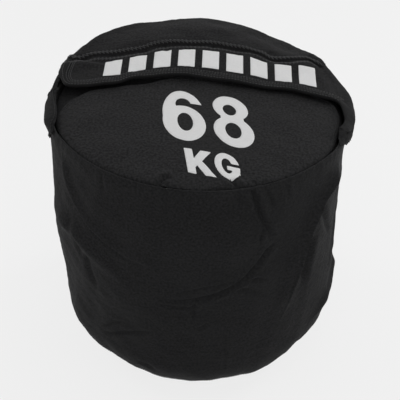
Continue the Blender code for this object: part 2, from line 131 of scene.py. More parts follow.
def swellAt(turn, height):
    inset, start, grow = bag["wingInset"]
    total = -inset * underWing(turn) * smoothStep((height - start) / grow)
    for middle, width, amount, low, high in bag["rimSwells"]:
        rise = smoothStep((height - low) / (high - low))
        total = total + amount * bell(turnBetween(turn, middle), width) * rise
    return total


def topHeight(x, y):
    turn, reach = np.arctan2(y, x), np.hypot(x, y)
    rise = smoothStep((y - bag["riseStart"]) / (bag["radius"] - bag["riseStart"]))
    lean = 1.0 - bag["riseLeanShare"] * x / bag["radius"]
    crown = 1.0 - reach ** 2 / bag["radius"] ** 2
    height = bag["rimHeight"] + bag["rearRise"] * rise * lean + bag["crown"] * crown
    start, grow = bag["bumpReach"]
    outward = smoothStep((reach - start) / grow)
    for middle, width, amount in bag["rimBumps"]:
        height = height + amount * outward * bell(turnBetween(turn, middle), width)
    return height


def rimHeightAt(turn):
    return topHeight(bag["radius"] * np.cos(turn), bag["radius"] * np.sin(turn))


def wallRadius(turn, height):
    swell = np.interp(height, *zip(*bag["wallSwell"]))
    return bag["radius"] + swell + swellAt(turn, height)


def cornerAt(turn):
    total = bag["bottomCorner"]
    for middle, width, amount in bag["cornerFuller"]:
        total = total + amount * bell(turnBetween(turn, middle), width)
    return total


def lowerShiftAt(height):
    return bag["lowerShift"] * smoothStep((bag["lowerShiftTop"] - height) / bag["lowerShiftDepth"])


def grooveAt(turn):
    share = np.ones(np.shape(turn))
    for middle, width, filled in bag["grooveShallow"]:
        share = share - filled * bell(turnBetween(turn, middle), width)
    return share


# A smooth uneven field made of a few plane waves
def uneven(x, y, wave, seed, count=9):
    draw = np.random.RandomState(seed)
    total = np.zeros(np.broadcast(x, y).shape)
    for _ in range(count):
        turn = draw.uniform(0.0, math.tau)
        pitch = wave * draw.uniform(0.7, 1.5)
        phase = draw.uniform(0.0, math.tau)
        total += np.sin((x * math.cos(turn) + y * math.sin(turn)) * math.tau / pitch + phase)
    return total / math.sqrt(count)


# A curve through given points, with a point every step
def smoothLine(points, step, closed=False):
    points = [np.array(p, float) for p in points]
    count = len(points)
    fine = []
    last = count if closed else count - 1
    for index in range(last):
        before = points[index - 1] if closed or index else points[0]
        here, after = points[index], points[(index + 1) % count]
        beyond = points[(index + 2) % count] if closed else points[min(index + 2, count - 1)]
        for share in np.linspace(0.0, 1.0, 12, endpoint=False):
            a, b = share * share, share ** 3
            fine.append(0.5 * (2.0 * here + (after - before) * share
                               + (2.0 * before - 5.0 * here + 4.0 * after - beyond) * a
                               + (3.0 * here - before - 3.0 * after + beyond) * b))
    fine.append(points[0] if closed else points[-1])
    line = resample(np.array(fine), step)
    return line[:-1] if closed else line


def lengthsAlong(line):
    return np.concatenate([[0.0], np.cumsum(np.linalg.norm(np.diff(line, axis=0), axis=1))])


def pointsAt(line, places):
    length = lengthsAlong(line)
    return np.stack([np.interp(places, length, line[:, axis]) for axis in range(line.shape[1])], 1)


def resample(line, step):
    whole = lengthsAlong(line)[-1]
    return pointsAt(line, np.linspace(0.0, whole, max(3, int(round(whole / step)) + 1)))


# The line moved to its left by a distance
def besides(line, distance):
    along = np.gradient(line, axis=0)
    along /= np.linalg.norm(along, axis=1)[:, None]
    return line + distance * np.stack([-along[:, 1], along[:, 0]], 1)


# Signed distance of many points from a line, and how far along it each one lies, as a share
def distanceFrom(x, y, line):
    best = np.full(x.shape, 1e9)
    side = np.ones(x.shape)
    along = np.zeros(x.shape)
    lengths = np.linalg.norm(np.diff(line, axis=0), axis=1)
    starts = np.concatenate([[0.0], np.cumsum(lengths)])
    for index in range(len(line) - 1):
        ax, ay = line[index]
        dx, dy = line[index + 1] - line[index]
        share = np.clip(((x - ax) * dx + (y - ay) * dy) / (dx * dx + dy * dy + 1e-15), 0.0, 1.0)
        ex, ey = x - ax - share * dx, y - ay - share * dy
        distance = np.hypot(ex, ey)
        closer = distance < best
        best = np.where(closer, distance, best)
        side = np.where(closer, np.sign(dx * ey - dy * ex), side)
        along = np.where(closer, (starts[index] + share * lengths[index]) / starts[-1], along)
    return best * np.where(side == 0.0, 1.0, side), along


# Camera, made first because seams and folds are placed by where the photograph shows them

elevation = math.radians(photo["elevation"])
tilt = math.radians(photo["tilt"])
viewBack = Vector((0.0, -math.cos(elevation), math.sin(elevation)))
levelRight = Vector((1.0, 0.0, 0.0))
levelUp = Vector((0.0, math.sin(elevation), math.cos(elevation)))
viewRight = math.cos(tilt) * levelRight + math.sin(tilt) * levelUp
viewUp = math.cos(tilt) * levelUp - math.sin(tilt) * levelRight
eye = Vector(photo["target"]) + viewBack * photo["distance"]


def makeCamera():
    data = bpy.data.cameras.new("camera")
    data.sensor_width = photo["sensor"]
    data.lens = photo["focal"] / photo["size"] * photo["sensor"]
    camera = bpy.data.objects.new("camera", data)
    bpy.context.scene.collection.objects.link(camera)
    turn = Matrix((viewRight, viewUp, viewBack)).transposed().to_4x4()
    camera.matrix_world = Matrix.Translation(eye) @ turn
    bpy.context.scene.camera = camera


makeCamera()


def photoRay(px, py):
    middle = photo["size"] / 2.0
    return (viewRight * ((px - middle) / photo["focal"])
            + viewUp * ((middle - py) / photo["focal"]) - viewBack)


# Where the top of the bag shows at a pixel, as (x, y)
def onTop(px, py, lift=0.0):
    ray = photoRay(px, py)
    reach = photo["distance"]
    for _ in range(20):
        place = eye + ray * reach
        reach += (place.z - float(topHeight(place.x, place.y)) - lift) / -ray.z
    return place.x, place.y


# Where the side wall shows at a pixel, as (way round, height), both as lengths
def onWall(px, py):
    ray = photoRay(px, py)
    a = ray.x ** 2 + ray.y ** 2
    b = 2.0 * (eye.x * ray.x + eye.y * ray.y)
    c = eye.x ** 2 + eye.y ** 2 - bag["radius"] ** 2
    reach = (-b - math.sqrt(max(b * b - 4.0 * a * c, 0.0))) / (2.0 * a)
    place = eye + ray * reach
    return (math.atan2(place.y, place.x) % math.tau) * bag["radius"], place.z


# Mesh making. Each piece keeps where its points lie on the flat cloth, for cutting it later.

flatPlaces = {}
shells = {}


def makeObject(name, points, faces, flat=None, weave=None):
    mesh = bpy.data.meshes.new(name)
    faces = [tuple(int(i) for i in face) for face in faces]
    mesh.from_pydata(np.asarray(points, float).tolist(), [], faces)
    weave = flat if weave is None else weave
    if weave is not None:
        layer = mesh.uv_layers.new(name="cloth")
        corner = np.zeros(len(mesh.loops), np.int32)
        mesh.loops.foreach_get("vertex_index", corner)
        layer.data.foreach_set("uv", np.asarray(weave, np.float32)[corner].ravel())
    mesh.shade_smooth()
    item = bpy.data.objects.new(name, mesh)
    bpy.context.scene.collection.objects.link(item)
    if flat is not None:
        flatPlaces[name] = (np.asarray(flat, float), np.asarray(weave, float))
    return item


def gridFaces(rows, columns):
    index = np.arange(rows * columns).reshape(rows, columns)
    a, b = index[:-1, :-1], index[:-1, 1:]
    c, d = index[1:, 1:], index[1:, :-1]
    return np.stack([a, b, c, d], -1).reshape(-1, 4)


def insideLoop(x, y, loop):
    inside = np.zeros(x.shape, bool)
    for (ax, ay), (bx, by) in zip(loop, np.roll(loop, -1, axis=0)):
        if ay == by:
            continue
        crosses = (ay > y) != (by > y)
        inside ^= crosses & (x < (bx - ax) * (y - ay) / (by - ay) + ax)
    return inside


# Triangles that fill a closed outline, on a lattice of the given spacing. keep is a test that
# a point lies on the cloth, where loops cross or leave holes. guides are lines that get
# points of their own, where the cloth turns sharply.
def fillOutline(loops, spacing, keep=None, guides=()):
    loops = [np.asarray(loop, float) for loop in loops]
    if keep is None:
        keep = lambda x, y: insideLoop(x, y, loops[0])
    low = np.min([loop.min(0) for loop in loops], axis=0)
    high = np.max([loop.max(0) for loop in loops], axis=0)
    xs = np.arange(low[0], high[0], spacing)
    ys = np.arange(low[1], high[1], spacing * math.sqrt(0.75))
    gx, gy = np.meshgrid(xs, ys)
    gx[1::2] += spacing / 2.0
    gx, gy = gx.ravel(), gy.ravel()
    chosen = keep(gx, gy)
    gx, gy = gx[chosen], gy[chosen]
    rims = [np.vstack([loop, loop[:1]]) for loop in loops]
    for line in guides:
        inner = keep(line[:, 0], line[:, 1])
        away, _ = distanceFrom(gx, gy, line)
        clear = np.abs(away) > spacing * 0.45
        gx, gy = gx[clear], gy[clear]
        gx = np.concatenate([gx, line[inner, 0]])
        gy = np.concatenate([gy, line[inner, 1]])
    for rim in rims:
        away, _ = distanceFrom(gx, gy, rim)
        clear = np.abs(away) > spacing * 0.40
        gx, gy = gx[clear], gy[clear]
    points, edges = [], []
    for loop in loops:
        start = len(points)
        points += [Vector(p) for p in loop.tolist()]
        edges += [(start + i, start + (i + 1) % len(loop)) for i in range(len(loop))]
    points += [Vector(p) for p in zip(gx.tolist(), gy.tolist())]
    made, _, faces, *_ = delaunay_2d_cdt(points, edges, [], 0, 1e-6, False)
    made = np.array([tuple(p) for p in made])
    faces = np.array(faces)
    middle = made[faces].mean(axis=1)
    faces = faces[keep(middle[:, 0], middle[:, 1])]
    used = np.unique(faces)
    renumber = np.full(len(made), -1)
    renumber[used] = np.arange(len(used))
    return made[used], renumber[faces]


def rimEdges(faces):
    seen = {}
    for face in faces:
        for a, b in ((face[0], face[1]), (face[1], face[2]), (face[2], face[0])):
            key = (min(a, b), max(a, b))
            seen[key] = None if key in seen else (a, b)
    return [edge for edge in seen.values() if edge]


# A sheet of cloth with a thickness. place(x, y, lift) puts flat points on the object, and
# top(x, y) is the lift of the upper face.
def makeSheet(name, loops, spacing, place, top, thickness, keep=None, guides=(), soften=0.3,
              thin=None, sharpRim=False):
    flat, faces = fillOutline(loops, spacing, keep, guides)
    x, y = flat[:, 0], flat[:, 1]
    thickness = thickness * (thin(x, y) if thin else np.ones(x.shape))
    onEdge = np.zeros(len(flat), bool)
    onEdge[[i for edge in rimEdges(faces) for i in edge]] = True
    onEdge &= np.abs(y - flapRear) > 0.0001          # where the flap's cloth goes on as the hood
    level = top(x, y)
    upper = level - np.where(onEdge, thickness * soften, 0.0)
    lower = level - thickness + np.where(onEdge, thickness * soften, 0.0)
    return closeShell(name, flat, faces, place(x, y, upper), place(x, y, lower), sharpRim)


def closeShell(name, flat, faces, upper, lower, sharpRim=False):
    count = len(flat)
    rim = rimEdges(faces)
    allFaces = [tuple(f) for f in faces] + [(c + count, b + count, a + count) for a, b, c in faces]
    allFaces += [(b, a, a + count, b + count) for a, b in rim]
    shells[name] = (flat, faces, upper, lower)
    item = makeObject(name, np.vstack([upper, lower]), allFaces, np.vstack([flat, flat]))
    if sharpRim:                     # so that cloth cut in parts is shaded as one
        onRim = {tuple(sorted((int(a), int(b)))) for a, b in rim}
        layer = item.data.attributes.new("sharp_edge", "BOOLEAN", "EDGE")
        for edge in item.data.edges:
            a, b = edge.vertices
            layer.data[edge.index].value = tuple(sorted((a % count, b % count))) in onRim
    return item


# A tape along a line: section is a closed loop of (distance to the left, lift)
def makeTape(name, line, section, place, top):
    columns = [besides(line, distance) for distance, _ in section]
    points, flat, weave = [], [], []
    length = lengthsAlong(line)
    for column, (distance, lift) in zip(columns, section):
        x, y = column[:, 0], column[:, 1]
        points.append(place(x, y, top(x, y) + lift))
        flat.append(column)
        weave.append(np.stack([length, np.full(length.shape, distance + lift)], 1))
    size, count = len(section), len(line)
    index = np.arange(size * count).reshape(size, count)
    after = np.roll(index, -1, axis=0)
    faces = np.stack([index[:, :-1], index[:, 1:], after[:, 1:], after[:, :-1]], -1)
    faces = [tuple(f) for f in faces.reshape(-1, 4)]
    faces += [tuple(index[:, 0]), tuple(index[::-1, -1])]
    return makeObject(name, np.concatenate(points), faces, np.concatenate(flat),
                      np.concatenate(weave))


# Stitches: each one is a short rounded thread between two flat points, with its ends sunk in
stitchShape = {"shares": (0.0, 0.14, 0.5, 0.86, 1.0), "arch": (-0.9, 0.4, 0.9, 0.4, -0.9),
               "girth": (0.5, 1.0, 1.0, 1.0, 0.5), "sides": 6}


def makeStitches(name, ends, place, top, radius):
    ends = np.asarray(ends, float)
    rings, normals, flats = [], [], []
    for share, arch in zip(stitchShape["shares"], stitchShape["arch"]):
        spot = mix(ends[:, 0], ends[:, 1], share)
        x, y = spot[:, 0], spot[:, 1]
        level = top(x, y) + arch * radius
        here = place(x, y, level)
        rings.append(here)
        normals.append(place(x, y, level + 0.001) - here)
        flats.append(spot)
    rings, normals, flats = (np.stack(part, 1) for part in (rings, normals, flats))
    along = np.gradient(rings, axis=1)
    along /= np.linalg.norm(along, axis=2, keepdims=True)
    across = np.cross(along, normals)
    across /= np.linalg.norm(across, axis=2, keepdims=True)
    normals = np.cross(across, along)
    sides = stitchShape["sides"]
    turns = np.linspace(0.0, math.tau, sides, endpoint=False)
    girth = radius * np.array(stitchShape["girth"])[None, :, None, None]
    spokes = (across[:, :, None, :] * np.cos(turns)[None, None, :, None]
              + normals[:, :, None, :] * np.sin(turns)[None, None, :, None])
    points = (rings[:, :, None, :] + girth * spokes).reshape(-1, 3)
    count, depth = ends.shape[0], len(stitchShape["shares"])
    index = np.arange(count * depth * sides).reshape(count, depth, sides)
    after = np.roll(index, -1, axis=2)
    faces = np.stack([index[:, :-1], after[:, :-1], after[:, 1:], index[:, 1:]], -1)
    faces = [tuple(f) for f in faces.reshape(-1, 4)]
    faces += [tuple(ring[::-1]) for ring in index[:, 0]] + [tuple(ring) for ring in index[:, -1]]
    flat = np.repeat(flats[:, :, None, :], sides, axis=2).reshape(-1, 2)
    return makeObject(name, points, faces, flat)


def stitchRow(line, length=0.0030, gap=0.0010):
    whole = lengthsAlong(line)[-1]
    starts = np.arange(gap, whole - length, length + gap)
    return np.stack([pointsAt(line, starts), pointsAt(line, starts + length)], 1)


def zigzagRow(line, low, high, pitch):
    whole = lengthsAlong(line)[-1]
    places = np.arange(0.0, whole, pitch / 2.0)
    near, far = pointsAt(besides(line, low), places), pointsAt(besides(line, high), places)
    corners = np.where((np.arange(len(places)) % 2 == 0)[:, None], near, far)
    return np.stack([corners[:-1], corners[1:]], 1)


# The part of a piece where a test on the flat cloth holds, as an object of its own
def partOf(source, name, test):
    if source.name in shells:
        flat, faces, upper, lower = shells[source.name]
        kept = np.array([face for face in faces if test(*flat[face].mean(axis=0))])
        if not len(kept):
            return None
        used, kept = np.unique(kept, return_inverse=True)
        item = closeShell(name, flat[used], kept.reshape(-1, 3), upper[used], lower[used], True)
    else:
        flat, weave = flatPlaces[source.name]
        points = np.zeros(len(source.data.vertices) * 3)
        source.data.vertices.foreach_get("co", points)
        faces = [tuple(face.vertices) for face in source.data.polygons]
        faces = [f for f in faces if test(*flat[list(f)].mean(axis=0))]
        if not faces:
            return None
        used = sorted(set(i for f in faces for i in f))
        number = {old: new for new, old in enumerate(used)}
        item = makeObject(name, points.reshape(-1, 3)[used],
                          [tuple(number[i] for i in f) for f in faces], flat[used], weave[used])
    for material in source.data.materials:
        item.data.materials.append(material)
    return item


def pixelsOf(places):
    away = np.asarray(places) - np.array(eye)
    depth = -(away @ np.array(viewBack))
    middle = photo["size"] / 2.0
    return np.stack([middle + photo["focal"] * (away @ np.array(viewRight)) / depth,
                     middle - photo["focal"] * (away @ np.array(viewUp)) / depth], -1)


# Places of the cloth on top of the bag. Flat points further out than the rim go down the wall.

topCloth = {
    "flapLift": 0.0106,          # upper face of the closure flap above the bag's top
    "wingLift": 0.0073,          # outer face of a wing, off the side wall
    "wingEdgeLift": 0.0022,      # and at its free edges
    "hoodEdgeLift": 0.0030,      # upper face of the hood where it turns over the rim
    "hoodSlope": 0.050,
    "wingSlope": 0.020,
    "turnRadius": 0.0060,        # of the rim that the cloth turns over
    "outerThickness": 0.0020,
    "liningGap": 0.0002,
    "liningThickness": 0.0012,
    "stripLift": 0.0054,         # the left wing, where it lies under the flap's rounded end
    "stripThickness": 0.0034,
    "wingDrop": 0.2415,          # flat reach of a wing's lower edge
    "wingFrontTurn": -25.0,      # its front edge, at the rim and at the lower edge
    "wingFrontLow": -7.0,
    "wingRearTurn": 26.0,
    "frontEdgeTurn": 9.0,        # how wide the thinned edges of a wing are, in degrees
    "rearEdgeTurn": 6.0,
    "lowerEdge": 0.009,
    "edgeShare": 0.15,           # of the drop, from which its lower and rear edges are thinned
    "rightEnd": 38.0,            # degrees where the lift of the wing and of the left end starts
    "leftEnd": 146.0,
    "endTurn": 14.0,             # and over which it grows
    "slopeMargin": 0.004,
}


def overRim(x, y, lift):
    turn = np.arctan2(y, x)
    reach = np.hypot(x, y)
    radius = topCloth["turnRadius"]
    rim = bag["radius"] + swellAt(turn, bag["rimHeight"])
    flatEnd = rim - radius
    rimLevel = topHeight(rim * np.cos(turn), rim * np.sin(turn))
    quarter = radius * math.pi / 2.0
    bend = np.clip((reach - flatEnd) / quarter, 0.0, 1.0)
    down = np.maximum(reach - flatEnd - quarter, 0.0)
    angle = bend * math.pi / 2.0
    over = bend > 0.0
    outward = np.where(over, flatEnd + (radius + lift) * np.sin(angle), reach)
    wall = wallRadius(turn, rimLevel - radius - down) - wallRadius(turn, rimLevel - radius)
    outward = outward + np.where(down > 0.0, wall, 0.0)
    level = rimLevel - radius + (radius + lift) * np.cos(angle) - down
    level = level + (topHeight(x, y) - rimLevel) * (1.0 - bend)
    height = np.where(over, level, topHeight(x, y) + lift)
    return np.stack([outward * np.cos(turn), outward * np.sin(turn), height], -1)


def topPlace(x, y, lift):
    return np.stack([x, y, topHeight(x, y) + lift], -1)


# How much the outer cloth is thinned towards the free edges of a wing
def wingThinning(reach, side):
    share = (reach - bag["radius"]) / (topCloth["wingDrop"] - bag["radius"])
    front = mix(topCloth["wingFrontTurn"], topCloth["wingFrontLow"], np.maximum(share, 0.0))
    full = smoothStep((side - front) / topCloth["frontEdgeTurn"])
    overEdge = smoothStep(share / topCloth["edgeShare"])
    for free in ((topCloth["wingDrop"] - reach) / topCloth["lowerEdge"],
                 (topCloth["wingRearTurn"] - side) / topCloth["rearEdgeTurn"]):
        full = full * mix(1.0, smoothStep(free), overEdge)
    return 1.0 - full


def baseLift(x, y):
    turn = np.degrees(np.arctan2(y, x))
    reach = np.hypot(x, y)
    rightWing = smoothStep((topCloth["rightEnd"] - np.abs(turn)) / topCloth["endTurn"])
    leftEnd = smoothStep((turn - topCloth["leftEnd"]) / topCloth["endTurn"])
    outer = mix(topCloth["hoodEdgeLift"], topCloth["wingLift"], rightWing)
    outer = mix(outer, topCloth["flapLift"], leftEnd)
    slope = mix(topCloth["hoodSlope"], topCloth["wingSlope"], np.maximum(rightWing, leftEnd))
    inward = smoothStep((bag["radius"] - topCloth["slopeMargin"] - reach) / slope)
    lift = mix(outer, topCloth["flapLift"], inward)
    thin = (topCloth["wingLift"] - topCloth["wingEdgeLift"]) * rightWing
    return lift - thin * wingThinning(reach, fromSide(np.radians(turn)))


strip = {
    "slope": (0.186, 0.014),     # from where it rises to the wing's lift, and over what
    "thinned": 0.55,             # share of its thickness that it loses towards free edges
    "seam": (0.0010, 0.012, 0.0016),     # depth, place in y, width
    "seamReach": (0.190, 0.01),
    "uneven": (0.0004, 0.03, 41),        # height, wave and seed
}


def stripBase(x, y):
    turn, reach = np.arctan2(y, x), np.hypot(x, y)
    start, grow = strip["slope"]
    lift = mix(topCloth["stripLift"], topCloth["wingLift"], smoothStep((reach - start) / grow))
    thin = topCloth["wingLift"] - topCloth["wingEdgeLift"]
    return lift - thin * wingThinning(reach, fromSide(turn))


# Flat places of cloth that show at given pixels. Where a pixel lies beyond the silhouette, it
# is the nearest place.
def onCloth(pixels, liftOf):
    pixels = np.array(pixels, float)
    guessLift, farthest, rounds = 0.008, 0.204, 60
    stiffness, step, longest = 60.0, 0.0002, 0.004
    flat = np.array([onTop(px, py, guessLift) for px, py in pixels])
    flat *= np.minimum(1.0, farthest / np.hypot(flat[:, 0], flat[:, 1]))[:, None]
    for _ in range(rounds):
        miss = pixelsOf(overRim(*flat.T, liftOf(*flat.T))) - pixels
        slopes = []
        for move in ((step, 0.0), (0.0, step)):
            moved = flat + move
            there = pixelsOf(overRim(*moved.T, liftOf(*moved.T))) - pixels
            slopes.append((there - miss) / step)
        slopes = np.stack(slopes, -1)
        square = slopes.transpose(0, 2, 1) @ slopes + stiffness ** 2 * np.eye(2)
        pull = slopes.transpose(0, 2, 1) @ miss[:, :, None]
        move = -np.linalg.solve(square, pull)[:, :, 0]
        length = np.linalg.norm(move, axis=1)[:, None]
        flat += move * np.minimum(1.0, longest / np.maximum(length, 1e-9))
    off = np.linalg.norm(pixelsOf(overRim(*flat.T, liftOf(*flat.T))) - pixels, axis=1)
    print("placed", len(pixels), "points, the worst one", round(float(off.max()), 1), "pixels off")
    return flat


# Lines on the top as the photograph shows them, in pixels
seen = {
    "hem": [(66, 62.5), (62.5, 68), (60, 77), (63.5, 84), (69, 87), (82, 87), (99, 85.6),
            (116, 83.8), (134, 79), (157, 77), (180, 76), (200, 78), (223, 81), (246, 85),
            (269, 89), (292, 91), (310, 95.4), (327, 99.4), (336, 102), (341, 107), (344, 116),
            (345, 121), (343, 125.5), (339, 130)],
    "seam": [(66, 62), (72, 60), (78, 58.5), (92, 56), (111, 55), (129, 52.7), (145, 50),
             (157, 46), (168.5, 44.4), (191.5, 44.4), (203, 44.6), (217, 46), (235, 49), (250, 51.5),
             (260, 54.4), (271.5, 59.4), (286.5, 60.2), (298, 59.4), (308.5, 59.6), (315, 63),
             (322, 66.5)],
    "lipLeft": [(58, 111.5), (68, 101), (78.5, 96), (90, 91), (105, 88.5), (128, 85.6),
                (145, 83.8)],
    "lipRight": [(300, 90), (320, 97), (333, 103), (339, 112), (340.5, 121), (339, 131),
                 (337.6, 142)],
    "wingFront": [(338.8, 138.5), (341, 146), (343.3, 153.8)],
    "stripInner": [(60, 79), (57, 90), (56, 100), (57, 112)],
    "stripFront": [(54.8, 122), (52.6, 133), (51, 145)],
    "rightCrease": [(333, 78), (338.5, 84), (343, 95), (346, 107)],
}
lipMiddle = [(-0.040, 0.047), (0.0, 0.052), (0.050, 0.048), (0.100, 0.040)]
flapRear = 0.118               # where the moving cloth ends and the fixed hood begins
lipReach = 0.2115              # edge of the cloth that is turned down behind the rim
panel = {
    "radius": 0.1950,
    "sink": 0.0052,
    "sinkWidth": 0.0030,
    "swell": 0.0020,
    "swellReach": 0.05,          # from the rim to where it is full
    "thickness": 0.0020,
    "gathers": (0.00030, 0.011), # height, and how far they reach in from the rim
    "lipGroove": (0.0010, 0.0018),       # depth and width
    "lipStitching": (0.0007, 0.0052, 0.0010),    # depth, distance from the lip, width
    "lipSwell": (0.0008, 0.0028, 0.0018),
    "uneven": [(0.00050, 0.060, 21), (0.00014, 0.016, 22)],      # height, wave and seed
}


def polar(degrees, reach):
    return reach * math.cos(math.radians(degrees)), reach * math.sin(math.radians(degrees))


def arcLine(start, end, reach, step):
    count = max(2, int(abs(math.radians(end - start)) * reach / step))
    return [polar(mix(start, end, i / count), reach) for i in range(count + 1)]


def straightLine(left, right, y, count=80):
    return [(x, y) for x in np.linspace(left, right, count)]


# Half of a round outline's chord, and the degrees at which the chord meets it
def chordOf(y, radius):
    return math.sqrt(radius ** 2 - y ** 2), math.degrees(math.asin(y / radius))


def turnOf(point):
    return math.degrees(math.atan2(point[1], point[0]))


hemPoints = onCloth(seen["hem"], lifted(-0.0030, baseLift))
hemLine = smoothLine(hemPoints, 0.0025)
seamLine = smoothLine(onCloth(seen["seam"], baseLift), 0.0025)
creaseLine = smoothLine(onCloth(seen["rightCrease"], baseLift), 0.0025)
lipPoints = [onTop(px, py, 0.001) for px, py in seen["lipLeft"]] + lipMiddle
lipPoints = np.array(lipPoints + [onTop(px, py, 0.001) for px, py in seen["lipRight"]])
lipPoints *= np.minimum(1.0, (panel["radius"] - 0.0005)
                        / np.hypot(lipPoints[:, 0], lipPoints[:, 1]))[:, None]
lipLine = smoothLine(lipPoints, 0.0025)
frontEdge = onCloth(seen["wingFront"], baseLift)

wingDrop = topCloth["wingDrop"]
wingEdge = smoothLine([hemPoints[-1], *frontEdge[:2], polar(-21.0, 0.2065), polar(-15.0, 0.2190),
                       polar(-10.0, 0.2310), polar(-5.0, wingDrop - 0.003), polar(1.0, wingDrop),
                       polar(4.0, wingDrop), polar(15.0, wingDrop - 0.001),
                       polar(22.0, wingDrop - 0.007), polar(25.0, 0.2240),
                       polar(26.5, 0.2150), polar(29.0, lipReach)], 0.0028)
rearHalf, rearTurn = chordOf(flapRear, lipReach)
flapCorner = turnOf(hemPoints[0]) % 360.0
flapOutline = np.vstack([
    hemLine, wingEdge[1:], arcLine(29.0, rearTurn, lipReach, 0.003)[1:],
    straightLine(rearHalf, -rearHalf, flapRear, 118)[1:],
    arcLine(180.0 - rearTurn, flapCorner - 3.0, lipReach, 0.003)[1:],
    smoothLine([polar(flapCorner - 3.0, lipReach), polar(flapCorner - 1.0, 0.2090),
                hemPoints[0]], 0.003)[1:-1]])
# The lining stops short of the wing's free edges
wingLining = smoothLine([hemPoints[-1], polar(-14.5, 0.2010), polar(-12.5, 0.2100),
                         polar(-6.5, 0.2220), polar(-1.0, wingDrop - 0.011),
                         polar(4.0, wingDrop - 0.009), polar(18.0, wingDrop - 0.009),
                         polar(20.5, wingDrop - 0.013), polar(22.0, 0.2150), polar(25.0, 0.2120),
                         polar(29.0, lipReach)], 0.0035)
liningOutline = np.vstack([hemLine, wingLining[1:], flapOutline[len(hemLine) + len(wingEdge) - 1:]])
hoodOutline = np.vstack([
    arcLine(rearTurn, 180.0 - rearTurn, lipReach, 0.003),
    straightLine(-rearHalf, rearHalf, flapRear, 118)[1:-1]])
guideLines = [besides(seamLine, d) for d in (-0.0045, -0.0024, -0.0010, 0.0004, 0.0018, 0.0036)]
guideLines += [besides(hemLine, d) for d in (0.0012, 0.0030)]
print("outlines drawn")


# Relief of the top cloth: the sewn seam, its puckers, the padding and small unevenness. A fold
# is its kind, height, width and points and, where it isn't foldFade, how it fades at both ends.

puckers = [
    ("soft", -0.0036, 0.0070, [(-0.182, 0.092), (-0.160, 0.079), (-0.136, 0.073),
     (-0.115, 0.075)]),
    ("soft", 0.0016, 0.0060, [(-0.172, 0.070), (-0.155, 0.064), (-0.135, 0.064)]),
    ("soft", -0.0020, 0.0055, [(0.094, 0.110), (0.100, 0.094), (0.112, 0.080)]),
    ("soft", -0.0022, 0.0050, [(0.150, 0.112), (0.166, 0.094), (0.176, 0.076)]),
    ("soft", -0.0012, 0.0060, [(-0.060, 0.112), (-0.050, 0.098), (-0.048, 0.082)]),
    ("soft", -0.0010, 0.0050, [(0.020, 0.116), (0.012, 0.100)]),
    ("soft", -0.0010, 0.0070, [(-0.110, 0.128), (-0.104, 0.146), (-0.108, 0.166)]),
    ("soft", -0.0010, 0.0070, [(0.050, 0.132), (0.060, 0.150), (0.074, 0.168)]),
    ("soft", -0.0016, 0.0026, creaseLine),
    ("soft", 0.0016, 0.0030, besides(creaseLine, 0.005)),
]


foldFade = (0.25, 0.35)        # how a fold rises and ends, unless its row says otherwise
foldReach = 4.0                # in widths
foldShapes = {
    "soft": lambda across: np.exp(-across ** 2),
    "sharp": lambda across: np.exp(-np.abs(across) * 1.3),
    # a narrow valley between two low swells
    "crease": lambda across: (0.45 * np.exp(-(np.abs(across) - 1.5) ** 2)
                              - np.exp(-across ** 2 * 2.2)),
    # a swell on one side that drops to the other
    "lap": lambda across: (np.exp(-across ** 2 * np.where(across > 0.0, 0.35, 5.0))
                           - 0.35 * np.exp(-(across + 0.9) ** 2 * 3.0)),
}


def foldHeight(x, y, folds):
    total = np.zeros(x.shape)
    for kind, height, width, path, *fade in folds:
        path = np.array(path, float)
        line = smoothLine(path, width * 0.8) if len(path) > 2 else path
        low, high = line.min(0) - foldReach * width, line.max(0) + foldReach * width
        near = (x > low[0]) & (x < high[0]) & (y > low[1]) & (y < high[1])
        if not near.any():
            continue
        distance, along = distanceFrom(x[near], y[near], line)
        fadeIn, fadeOut = fade[0] if fade else foldFade
        strength = smoothStep(along / fadeIn) * smoothStep((1.0 - along) / fadeOut)
        total[near] += height * strength * foldShapes[kind](distance / width)
    return total


# The same folds with their points placed on the cloth
def placeFolds(rows, place):
    return [(kind, height, width, [place(*point) for point in points], *fade)
            for kind, height, width, points, *fade in rows]


topRelief = {
    "hoodSwell": (0.0012, 0.012),        # height, then how far behind the seam and how wide
    "groove": (0.0030, 0.0015),          # depth and width
    "flapDip": (0.0008, 0.005),          # depth, then how far before the seam and how wide
    "padding": (0.0018, 0.14),           # height and half width
    "uneven": [(0.00050, 0.045, 11), (0.00016, 0.014, 12)],      # height, wave and seed
}


def topClothLift(x, y):
    swell, behind = topRelief["hoodSwell"]
    groove, grooveWidth = topRelief["groove"]
    dip, before = topRelief["flapDip"]
    padding, paddingWidth = topRelief["padding"]
    lift = baseLift(x, y)
    distance, along = distanceFrom(x, y, seamLine)
    onSeam = smoothStep(along / 0.006) * smoothStep((1.0 - along) / 0.01)
    lift += onSeam * (swell * bell(distance - behind, behind) * (distance > 0.0)
                      - groove * bell(distance, grooveWidth)
                      - dip * bell(distance + before, before))
    lift += foldHeight(x, y, puckers)
    hem, _ = distanceFrom(x, y, hemLine)
    middle = smoothStep((np.abs(hem) - 0.006) / 0.02)
    middle *= smoothStep((np.abs(distance) - 0.003) / 0.02)
    lift += padding * middle * bell(x, paddingWidth) * (y < flapRear)
    lift += sum(height * uneven(x, y, wave, seed) for height, wave, seed in topRelief["uneven"])
    return lift


def liningLift(x, y):
    return topClothLift(x, y) - topCloth["outerThickness"] - topCloth["liningGap"]


# The left wing is thinner where only its outer cloth is left
def stripThin(x, y):
    return 1.0 - strip["thinned"] * wingThinning(np.hypot(x, y), fromSide(np.arctan2(y, x)))


def stripTop(x, y):
    depth, middle, width = strip["seam"]
    start, grow = strip["seamReach"]
    height, wave, seed = strip["uneven"]
    seam = bell(y - middle, width) * smoothStep((np.hypot(x, y) - start) / grow)
    return stripBase(x, y) + height * uneven(x, y, wave, seed) - depth * seam


